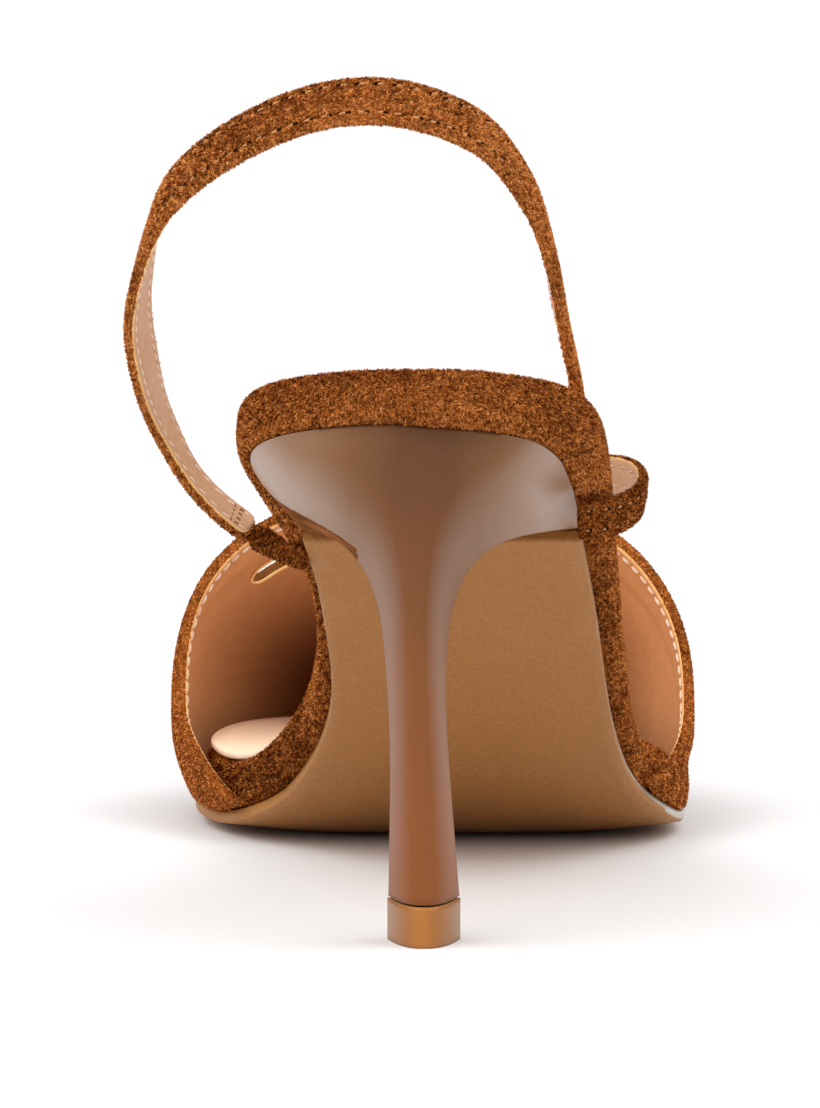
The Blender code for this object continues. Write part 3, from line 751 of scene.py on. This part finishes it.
def grown_outline(margin):
    """Both sides of the sole's outline as (y, x), moved outwards along its normals by a margin."""
    even = np.linspace(0, 1, CURVE_SAMPLES // 2)
    sides = [curve_through(np.stack([*side.values()], -1), even) for side in (MEDIAL_SIDE, LATERAL_SIDE)]
    loop = np.concatenate([sides[0], sides[1][::-1]])
    run = way_round(loop)
    moved = loop - margin * np.stack([-run[:, 1], run[:, 0]], -1)
    return moved[:len(even)], moved[len(even):][::-1]


OUTLINES = {margin: grown_outline(margin) for margin in MARGINS}


def edge_x(side, y, margin=0.0):
    edge = OUTLINES[margin][0 if side == "medial" else 1]
    return np.interp(y, edge[:, 0], edge[:, 1])


def camber(y, x):
    """Lift of the forefoot bottom at a point, none in its flat middle."""
    medial, lateral = edge_x("medial", y), edge_x("lateral", y)
    across = np.abs(2 * x - medial - lateral) / (lateral - medial)
    raised = np.clip((across - FLAT_SHARE) / (1 - FLAT_SHARE), 0, CAMBER_LIMIT)
    return CAMBER * column(CAMBER_FADE, "share", y) * raised ** 2


def vamp_section(y, share, wall):
    """Point of the vamp at a station; share runs from -1 at the inner sole edge to 1 at the outer."""
    away = np.abs(share)
    sign = np.where(share < 0, -1.0, 1.0)
    margin = VAMP_GAP + wall
    foot = np.where(share < 0, -edge_x("medial", y, margin), edge_x("lateral", y, margin))
    bulge = np.where(share < 0, column(VAMP, "medial", y), column(VAMP, "lateral", y))
    middle = (edge_x("medial", y) + edge_x("lateral", y)) / 2
    belly_half = foot + bulge - sign * middle
    crown = column(VAMP, "crown", y) - VAMP_WALL + wall
    belly = column(VAMP, "belly", y)
    foot_z = column(SOLE_LINE, "z", y) + FOOT_HEIGHT * np.sqrt(1 + sole_slope(y) ** 2)
    foot_z = foot_z + camber(y, sign * foot)
    turn = np.clip(away / BELLY_SHARE, 0, 1) * np.pi / 2
    drop = np.clip((away - BELLY_SHARE) / (1 - BELLY_SHARE), 0, 1)
    power = 2 / ROUNDNESS
    half = belly_half * np.sin(turn) ** power - bulge * drop ** VAMP_TUCK
    arch = belly + (crown - belly) * np.clip(np.cos(turn), 0, 1) ** power
    rise = np.where(away > BELLY_SHARE, belly + (foot_z - belly) * drop, arch)
    return np.stack([middle + sign * half, y + 0 * half, rise], -1)


def topline_station(share):
    inner, outer = [smooth(TOPLINE["share"], TOPLINE[side], np.abs(share)) for side in ("medial", "lateral")]
    return np.where(share < 0, inner, outer)


def downwards(ways, middle):
    """Ways square to the vamp, turned so that the one in its middle points down into the shoe."""
    return -ways if ways[middle][2] > 0 else ways


def bell(distance, width):
    return np.exp(-(distance / width) ** 2)


def vamp_skin(wall):
    """Grid over the vamp from its top edge to the toe, with the folds of its side."""
    shares = np.linspace(-1, 1, VAMP_COLUMNS + 1)
    forward = 1 - (1 - np.linspace(0, 1, VAMP_ROWS + 1)) ** TOE_CROWDING
    start = topline_station(shares)
    toe = TOE + VAMP_GAP + wall
    stations = start + (toe - start) * forward[:, None]
    grid = vamp_section(stations, shares, wall)
    normals = unit(np.cross(np.gradient(grid, axis=0), np.gradient(grid, axis=1)))
    if wall:
        along = np.clip((stations - SIDE_FOLD["first"]) / (SIDE_FOLD["last"] - SIDE_FOLD["first"]), 0, 1)
        across = bell(shares - SIDE_FOLD["share"], SIDE_FOLD["width"])
        fold = SIDE_FOLD["depth"] * np.sin(np.pi * along) * across
    else:
        from_edge = stations - start
        away = np.abs(shares)
        fold = sum(depth * bell(from_edge - at, width) for at, width, depth in zip(*LINING_FOLDS.values()))
        fold = fold * np.clip(LINING_FOLD_END - away, 0, 1) * np.clip(away / LINING_FOLD_START, 0, 1)
    return grid + downwards(normals, (0, VAMP_COLUMNS // 2)) * fold[..., None]


def grid_faces(at):
    corners = np.stack([at[:-1, :-1], at[1:, :-1], at[1:, 1:], at[:-1, 1:]], -1)
    return corners.reshape(-1, 4).tolist()


def ring_faces(at):
    """Faces between rings of points, each ring closed on itself."""
    return grid_faces(np.concatenate([at, at[:, :1]], 1))


def capped_faces(at):
    return ring_faces(at) + [at[0].tolist(), at[-1].tolist()]


def closed_mesh(name, points, faces, finishes=None):
    """A mesh from points in millimetres, its faces turned outwards, each with its own finish."""
    mesh = bpy.data.meshes.new(name)
    mesh.from_pydata((np.asarray(points) * MM).tolist(), [], faces)
    mesh.polygons.foreach_set("material_index", finishes or [0] * len(faces))
    edit = bmesh.new()
    edit.from_mesh(mesh)
    bmesh.ops.recalc_face_normals(edit, faces=edit.faces)
    edit.to_mesh(mesh)
    edit.free()
    mesh.shade_smooth()
    return mesh


def vamp_mesh():
    """Suede skin, lining skin, the folded top edge between them, the rounded nose and the lasting edge."""
    outer, inner = vamp_skin(VAMP_WALL), vamp_skin(0.0)
    turn = np.linspace(0, np.pi, EDGE_STRIPS + 1)[1:-1, None, None]
    across = (1 - np.cos(turn)) / 2
    bulge = unit(outer[0] - outer[1]) * EDGE_BULGE * np.sin(turn)
    edge = inner[0] * (1 - across) + outer[0] * across + bulge
    middle = outer[-1].mean(axis=0)
    closing = np.linspace(0, np.pi / 2, NOSE_RINGS + 1)[1:, None, None]
    forward = np.array([0, NOSE_BULGE, 0]) * np.sin(closing)
    nose = middle + (outer[-1] - middle) * np.cos(closing) + forward
    sleeve = np.concatenate([inner[::-1], edge, outer, nose])
    rows, columns = sleeve.shape[:2]
    at = np.arange(rows * columns).reshape(rows, columns)
    faces = grid_faces(at)
    row_of = np.repeat(np.arange(rows - 1), columns - 1)
    lining_end = len(inner) - 1
    finishes = np.where(row_of < lining_end, 1, np.where(row_of < lining_end + GOLD_STRIPS, 2, 0)).tolist()
    inner_rows, outer_rows = at[:len(inner)][::-1], at[len(inner) + len(edge):][:len(outer)]
    for side in (0, -1):
        faces += grid_faces(np.stack([inner_rows[:, side], outer_rows[:, side]], 1))
    finishes += [0] * (len(faces) - len(finishes))
    fold_rows = at[lining_end:lining_end + EDGE_STRIPS + 1]
    faces += [fold_rows[:, 0].tolist(), fold_rows[:, -1].tolist()]
    faces.append(at[0].tolist())
    faces.append([at[0, 0], at[0, -1], outer_rows[-1, -1], outer_rows[-1, 0]])
    faces.append([outer_rows[-1, 0], *at[-NOSE_RINGS:, 0], *at[-NOSE_RINGS:, -1][::-1], outer_rows[-1, -1]])
    finishes += [0, 0, 1, 0, 0]
    return closed_mesh("suede_vamp", sleeve.reshape(-1, 3), faces, finishes)


def slot_frame():
    """Middle line of the instep slot with the ways along the foot and out, and half the slot's width."""
    shares = SLOT_REACH * np.sin(np.linspace(-1, 1, SLOT_SECTIONS) * np.pi / 2)
    station = np.full(SLOT_SECTIONS, SLOT_STATION)
    middle = vamp_section(station, shares, VAMP_WALL / 2)
    along = unit(vamp_section(station + 1, shares, VAMP_WALL / 2) - middle)
    out = unit(np.cross(np.gradient(middle, axis=0), along))
    run = length_along(middle)
    radius = SLOT_WIDTH / 2
    inside = np.clip(radius - np.minimum(run, run[-1] - run), 0, None)
    half = np.sqrt(np.clip(radius ** 2 - inside ** 2, SLOT_END_HALF ** 2, None))[:, None]
    return middle, along, out, half


def slot_cutter():
    """Bent bar with round ends that follows the arch of the vamp across the instep."""
    middle, along, out, half = slot_frame()
    deep = out * SLOT_DEPTH
    front, back = middle + along * half, middle - along * half
    rings = np.stack([back - deep, front - deep, front + deep, back + deep], 1)
    at = np.arange(SLOT_SECTIONS * 4).reshape(SLOT_SECTIONS, 4)
    return closed_mesh("slot_cutter", rings.reshape(-1, 3), capped_faces(at))


def slot_binding():
    """Thin rolled edge round the slot on its lining side."""
    middle, along, out, half = slot_frame()
    inner = middle - out * VAMP_WALL / 2
    loop = np.concatenate([inner + along * half, (inner - along * half)[::-1]])
    up = np.concatenate([out, out[::-1]])
    turn = np.linspace(0, 2 * np.pi, BINDING_SIDES, endpoint=False)[None, :, None]
    ring = np.cross(way_round(loop), up)[:, None] * np.cos(turn) + up[:, None] * np.sin(turn)
    points = loop[:, None] + ring * BINDING_RADIUS
    at = np.arange(len(loop) * BINDING_SIDES).reshape(len(loop), BINDING_SIDES)
    return closed_mesh("slot_binding", points.reshape(-1, 3), ring_faces(np.concatenate([at, at[:1]])))


def lining_with_painted_shade():
    """Nude lining leather with painted shade that darkens it towards the toe."""
    material = grained(
        "nude lining leather with painted shade", (0.58, 0.262, 0.108), (0.68, 0.325, 0.142), pores=2400, mottle=500,
        relief=0.22, rough=0.42, shine=0.4)
    tree = material.node_tree
    shader = tree.nodes["Principled BSDF"]
    # Painted shade: the lining darkens towards the toe, deep inside the vamp.
    inside = rescaled(tree, split(tree, on_piece(tree))["Y"], LINING_PAINTED_SHADE_FROM * MM, LINING_PAINTED_SHADE_TO * MM)
    shaded = add_node(tree, "ShaderNodeMix", {
        "Factor": 1.0, 6: shader.inputs["Base Color"].links[0].from_socket,
        7: ramp(tree, inside, (0.0, (1.0, 1.0, 1.0)), (1.0, LINING_PAINTED_SHADE))},
        data_type="RGBA", blend_type="MULTIPLY")
    feed(tree, shader, "Base Color", shaded.outputs[2])
    return material


# The slot's cut edge: its own brown, darkened by painted shade inside the slot.
CUT_EDGE_IN_PAINTED_SHADE = grained(
    "cut slot edge in painted shade", (0.15, 0.050, 0.014), (0.23, 0.085, 0.026), pores=3000, mottle=300, relief=0.3,
    rough=0.9, shine=0.0)
GOLD_EDGE = grained(
    "golden cut edge", (0.78, 0.43, 0.14), (0.95, 0.61, 0.26), pores=3000, mottle=300, relief=0.3,
    rough=0.5, shine=0.4)

vamp = add_piece("suede_vamp", vamp_mesh())
cover(vamp, SUEDE_SKIN_IN_PAINTED_SHADE, lining_with_painted_shade(), GOLD_EDGE)
cutter = add_piece("slot_cutter", slot_cutter())
cover(cutter, CUT_EDGE_IN_PAINTED_SHADE)
slot = vamp.modifiers.new("instep slot", "BOOLEAN")
slot.operation = "DIFFERENCE"
slot.object = cutter
slot.material_mode = "TRANSFER"
softened(vamp)
bpy.data.objects.remove(cutter, do_unlink=True)
mark_nap(vamp, [float(face.material_index == 0) for face in vamp.data.polygons], "outsole", "footbed")
add_nap("vamp_nap", vamp, fibres=19e6, seed=12, comb=(0.2, -0.3, -0.4), tone=0.37, length=0.4, width=0.18)
dress(vamp, "suede", "vamp")
binding = add_piece("slot_binding", slot_binding())
cover(binding, GOLD_EDGE)
dress(binding, "lining")

# Vamp stitching
# A row of cream thread that holds lining and suede together just inside the top edge, sewn by machine in
# even stitches that lie a little askew.
STITCH_INSET = 1.2
STITCH_TILT = np.radians(7)
STITCH_STAND = 0.1
STITCH_SAMPLES = 400
STITCHED_SHARE = 0.965


def stitch_tree():
    """Geometry nodes that lay one rounded stitch after another along rows of points."""
    tree, given = sized_tree(
        "stitch rows", Pitch="Float", Length="Float", Thick="Float", Tilt="Float", Finish="Material")
    path = add_node(tree, "GeometryNodeMeshToCurve", {"Mesh": given["Geometry"]})
    even = add_node(
        tree, "GeometryNodeResampleCurve", {"Curve": path, "Length": given["Pitch"]}, mode="LENGTH")
    along = add_node(tree, "GeometryNodeInputTangent")
    bead = add_node(tree, "GeometryNodeMeshUVSphere", {"Segments": 8, "Rings": 6, "Radius": 0.5})
    soft_bead = add_node(tree, "GeometryNodeSetShadeSmooth", {"Geometry": bead})
    stitches = laid_out(
        tree, even, soft_bead, ("X", along), ("Z", marked(tree, "up", "FLOAT_VECTOR")), {"Z": given["Tilt"]},
        {"X": given["Length"], "Y": given["Thick"], "Z": given["Thick"]})
    return made_real(tree, stitches, given["Finish"])


STITCH_TREE = stitch_tree()


def stitch_rows(name, rows, finish, pitch, length, thick, tilt=STITCH_TILT):
    """Stitches along rows, each row its points and the way that is up from the leather at each."""
    points, ups = [np.concatenate(part) for part in zip(*rows)]
    edges = []
    first = 0
    for row, _ in rows:
        edges += [(k, k + 1) for k in range(first, first + len(row) - 1)]
        first += len(row)
    mesh = bpy.data.meshes.new(name)
    mesh.from_pydata((points * MM).tolist(), edges, [])
    mesh.attributes.new("up", "FLOAT_VECTOR", "POINT").data.foreach_set("vector", ups.ravel())
    piece = grown(name, mesh, STITCH_TREE, Pitch=pitch * MM, Length=length * MM, Thick=thick * MM,
                  Tilt=tilt, Finish=finish)
    dress(piece, "lining")


def thread(name, dark, pale, shine=0.3):
    return grained(
        name, dark, pale, pores=5200, mottle=900, relief=0.6, rough=0.7, shine=shine)


def topline_row(inset):
    """Row on the lining at a distance inside the top edge, and its way up from the leather."""
    shares = np.linspace(-STITCHED_SHARE, STITCHED_SHARE, STITCH_SAMPLES)
    station = topline_station(shares)
    edge = vamp_section(station, shares, 0.0)
    ahead = vamp_section(station + 1, shares, 0.0) - edge
    run = unit(np.gradient(edge, axis=0))
    square = np.linalg.norm(ahead - run * np.sum(ahead * run, axis=1)[:, None], axis=1)
    row = vamp_section(station + inset / square, shares, 0.0)
    return row, downwards(unit(np.cross(ahead, run)), STITCH_SAMPLES // 2)


CREAM_THREAD = thread("cream thread", (0.74, 0.54, 0.40), (0.94, 0.78, 0.64))
row, inwards = topline_row(STITCH_INSET)
row = row + inwards * STITCH_STAND
stitch_rows("vamp_stitches", [(row, inwards)], CREAM_THREAD, pitch=2.2, length=1.95, thick=0.62)

# Sling strap
# One suede strap, lined with nude leather, that runs from the tab on the inner side round the back of
# the ankle to the outer side, where its end is sewn to a loop that wears the suede on its outside too.
# Two rows of stitches sink into the suede near its edges.
STRAP_THICK = 1.6
STRAP_SECTIONS = 420
FACE_SAMPLES = 29
EDGE_RADIUS = 0.7
END_RADIUS = 2.0
ROW_INSET = 1.35
STRAP_PITCH = 2.7
STITCH_PULL = 0.35
GROOVE_WIDTH = 0.34
GROOVE_DEPTH = 0.42
GROOVE_NAP = 0.15
LINING_GROOVE_DEPTH = 0.14
PAD_HEIGHT = 0.12
LINING_LIP = 0.28
LOOP_ROW = 14
GOLD_ROW = 5
# Painted shade that darkens the nap on the loop.
LOOP_PAINTED_SHADE = -0.30
SLING = table("x y z lean twist width", (
    (-26.5, 42.6, 57.6, 68, 0, 8),
    (-33.9, 41, 64.1, 66, 0, 8),
    (-39.1, 34, 73.9, 52, 4, 8),
    (-41.8, 22, 84.2, 42, 16, 8),
    (-42.4, 9, 95.5, 38, 20, 8),
    (-37.3, -8, 112.1, 41, 5, 8),
    (-25.8, -18, 121.6, 43, 0, 8),
    (-13.7, -23.2, 126.3, 43, 0, 8),
    (-3.6, -23.6, 126.5, 43, 0, 8),
    (7.9, -18, 121.9, 47, 0, 8),
    (15.2, -8, 112.4, 51, 2, 8),
    (18.4, 2, 103, 54, 6, 8),
    (20.4, 14, 92.4, 55, 8, 8),
    (23.1, 31, 78.8, 46, 6, 8),
    (23.4, 41.4, 70, 20, 0, 6.8),
    (26.6, 46, 66.1, -4, 0, 5.8),
    (30.4, 45, 65.6, -12, 2, 5.8),
    (32.5, 39.4, 64.8, -16, 6, 5.8),
    (32.4, 31.6, 63.2, -16, 7, 5.8),
    (29.8, 25, 61.9, -14, 4, 5.8),
    (26.8, 21.8, 61.5, -12, 0, 5.8),
    (23.3, 20.6, 61.4, -12, 0, 5.8),
))
SLING_CORNERS = np.stack([SLING["x"], SLING["y"], SLING["z"]], -1)
SLING_RUN = length_along(SLING_CORNERS)
SLING_LENGTH = SLING_RUN[-1]
SLING_STATIONS = SLING_RUN / SLING_LENGTH
LOOP_START, GOLD_END = SLING_STATIONS[LOOP_ROW], SLING_STATIONS[GOLD_ROW]
FACE_SHARES = np.sin(np.linspace(-1, 1, FACE_SAMPLES) * np.pi / 2)


def strap_frame(shares):
    """Middle line of the strap with the directions of its width and outer face, and half its width."""
    path = curve_through(SLING_CORNERS, shares)
    lean, twist, width = [smooth(SLING_STATIONS, SLING[name], shares) for name in ("lean", "twist", "width")]
    run = unit(np.gradient(path, axis=0))
    upright = np.stack([0 * lean, np.sin(np.radians(lean)), np.cos(np.radians(lean))], -1)
    flat = unit(upright - run * np.sum(upright * run, axis=1)[:, None])
    square = np.cross(run, flat)
    turn = np.radians(twist)[:, None]
    wide = flat * np.cos(turn) - square * np.sin(turn)
    return path, wide, np.cross(run, wide), width[:, None] / 2


def band_rings(shares, outside):
    """Rings of a stretch of strap, its padded suede on the side given by outside, 1 or -1."""
    path, wide, out, half_wide = strap_frame(shares)
    half_thick = STRAP_THICK / 2
    reach = half_wide * FACE_SHARES
    from_edge = half_wide - np.abs(reach)
    corner = np.clip(1 - from_edge / EDGE_RADIUS, 0, 1)
    fall = EDGE_RADIUS * (1 - np.sqrt(1 - corner ** 2))
    waves = np.cos(2 * np.pi * shares[:, None] * SLING_LENGTH / STRAP_PITCH)
    pull = 1 - STITCH_PULL + STITCH_PULL * waves
    groove = bell(from_edge - ROW_INSET, GROOVE_WIDTH)
    pad = PAD_HEIGHT * from_edge / half_wide
    suede = half_thick + pad - fall - GROOVE_DEPTH * groove * pull
    lining = LINING_GROOVE_DEPTH * groove - half_thick
    lip = np.full_like(half_wide, LINING_LIP - half_thick)
    from_end = np.clip(END_RADIUS - shares[:, None] * SLING_LENGTH, 0, None)
    trimmed = END_RADIUS - np.sqrt(END_RADIUS ** 2 - from_end ** 2)
    lining_reach = reach[:, ::-1] * (1 - LINING_LIP / half_wide)
    across = np.concatenate([reach, half_wide, lining_reach, -half_wide], 1) * (1 - trimmed / half_wide)
    rise = np.concatenate([suede, lip, lining, lip], 1) * outside
    return path[:, None] + wide[:, None] * across[..., None] + out[:, None] * rise[..., None]


def strap_mesh():
    """The strap and its loop, two closed bands that meet at the seam, with each face's nap and painted
    shade.
    """
    shares = np.linspace(0, 1, STRAP_SECTIONS)
    seam = int(np.searchsorted(shares, LOOP_START))
    size = 2 * FACE_SAMPLES + 2
    kind = np.zeros(size, int)
    kind[FACE_SAMPLES:-1] = 1
    kind[[FACE_SAMPLES, -2]] = 2
    middles = (np.abs(FACE_SHARES[:-1]) + np.abs(FACE_SHARES[1:])) / 2
    points, faces, finishes, nap, shades = [], [], [], [], []
    for stretch, outside, lining, shade in ((shares[:seam], 1, 1, 0.0), (shares[seam:], -1, 3, LOOP_PAINTED_SHADE)):
        half_wide = smooth(SLING_STATIONS, SLING["width"], stretch[:-1])[:, None] / 2
        kinds = np.tile(kind, (len(stretch) - 1, 1))
        wrapped = (stretch[:-1] > GOLD_END) & (stretch[:-1] < LOOP_START)
        kinds[wrapped[:, None] & (kinds == 2)] = 0
        kinds[kinds == 1] = lining
        carried = np.where(kinds == 0, 1.0, 0.0)
        near_row = bell(half_wide * (1 - middles) - ROW_INSET, GROOVE_WIDTH)
        carried[:, :FACE_SAMPLES - 1] -= (1 - GROOVE_NAP) * near_row
        at = len(points) + np.arange(len(stretch) * size).reshape(len(stretch), size)
        faces += capped_faces(at)
        finishes += [*kinds.ravel(), 0, 0]
        nap += [*carried.ravel(), 1.0, 1.0]
        shades += [shade] * (kinds.size + 2)
        points += band_rings(stretch, outside).reshape(-1, 3).tolist()
    return closed_mesh("sling_strap_suede", points, faces, finishes), nap, shades


def strap_lining(name, dark, pale):
    return grained(
        name, dark, pale, pores=2400, mottle=500, relief=0.22, rough=0.5, shine=0.3)


strap_bands, strap_nap, strap_painted_shades = strap_mesh()
strap = add_piece("sling_strap_suede", strap_bands)
# The loop's lining is a paler copy of the strap's lining: painted light.
cover(
    strap, SUEDE_SKIN_IN_PAINTED_SHADE, strap_lining("pale strap lining", (0.50, 0.255, 0.130), (0.60, 0.325, 0.175)),
    GOLD_EDGE, strap_lining("loop lining with painted light", (0.80, 0.54, 0.38), (0.90, 0.64, 0.47)))
mark_nap(strap, strap_nap, "footbed")
mark_faces(strap, "nap_painted_shade", strap_painted_shades)
add_nap("strap_nap", strap, fibres=44e6, seed=13, comb=(0.3, 0.1, -0.4), tone=0.33, length=0.5, width=0.19)
dress(strap, "suede", "sling_strap")

# Strap stitching
# The same seam seen from both faces: tan thread sunk between dark beads of painted shade that stand for its
# needle holes outside, and cream thread on the lining. Brown thread tacks the inner end to its tab.
TAN_THREAD = thread("tan thread", (0.50, 0.22, 0.075), (0.74, 0.40, 0.17))
BROWN_THREAD = thread("brown thread", (0.24, 0.085, 0.035), (0.40, 0.17, 0.075))
# Painted shade: dark beads between the stitches stand for the shadow in the needle holes.
NEEDLE_HOLE_SHADE = thread("needle hole painted shade", (0.016, 0.004, 0.001), (0.040, 0.010, 0.002), shine=0.0)
STITCH_SINK = 0.12
TACKS = ((2.2, 1.0), (2.6, -0.9), (3.6, 0.3))
SEAM_END = 1.6 / SLING_LENGTH
HALF_PITCH = STRAP_PITCH / 2 / SLING_LENGTH
STRETCHES = ((SEAM_END, LOOP_START - SEAM_END, 1), (LOOP_START + SEAM_END, 1 - SEAM_END, -1))


def strap_row(side, outside, first, last):
    """Row of a stitch line on one face of a stretch; side -1 or 1 across it, outside 1 or -1."""
    path, wide, out, half_wide = strap_frame(np.linspace(first, last, STITCH_SAMPLES))
    across = side * (half_wide - ROW_INSET)
    return path + wide * across + out * outside * (STRAP_THICK / 2 - STITCH_SINK), out * outside


def tack_row(place):
    """Row across the lining at a distance from the strap's inner end."""
    path, wide, out, half_wide = strap_frame(np.linspace(0, 1, STRAP_SECTIONS))
    at = int(round(place / SLING_LENGTH * (STRAP_SECTIONS - 1)))
    across = np.linspace(-1, 1, STITCH_SAMPLES)[:, None] * (half_wide[at] - ROW_INSET)
    up = np.broadcast_to(-out[at], (STITCH_SAMPLES, 3))
    return path[at] + wide[at] * across + up * STRAP_THICK / 2, up


outer_rows, hole_shade_rows, inner_rows = [], [], []
for first, last, outside in STRETCHES:
    for side in (-1, 1):
        outer_rows.append(strap_row(side, outside, first, last))
        hole_shade_rows.append(strap_row(side, outside, first + HALF_PITCH, last))
        inner_rows.append(strap_row(side, -outside, first, last))
stitch_rows("strap_stitches_outside", outer_rows, TAN_THREAD, pitch=STRAP_PITCH, length=1.5, thick=0.45)
stitch_rows("strap_needle_hole_shades", hole_shade_rows, NEEDLE_HOLE_SHADE, pitch=STRAP_PITCH, length=1.0, thick=0.55)
stitch_rows("strap_stitches_inside", inner_rows, CREAM_THREAD, pitch=STRAP_PITCH, length=2.1, thick=0.45)
for number, (place, tilt) in enumerate(TACKS, start=1):
    tack = [tack_row(place)]
    stitch_rows(f"strap_tack_{number}", tack, BROWN_THREAD, pitch=1.5, length=1.0, thick=0.32, tilt=tilt)

# Strap tab
# The short dark tab of folded suede that joins the strap's inner end to the waist, where it goes in under
# the rim. Painted shade makes its nap darker than the strap's, where the tab lies in shadow.
tab = rounded("strap_tab", "suede_tab", crease=0.4)
cover(tab, SUEDE_SKIN_IN_PAINTED_SHADE)
mark_nap(tab, [1.0] * len(tab.data.polygons), "footbed", "outsole")
# Painted shade: the tab's nap is given a low tone.
add_nap("tab_nap", tab, fibres=38e6, seed=14, comb=(0.3, 0.1, -0.4), tone=0.06)
dress(tab, "suede", "strap_tab")
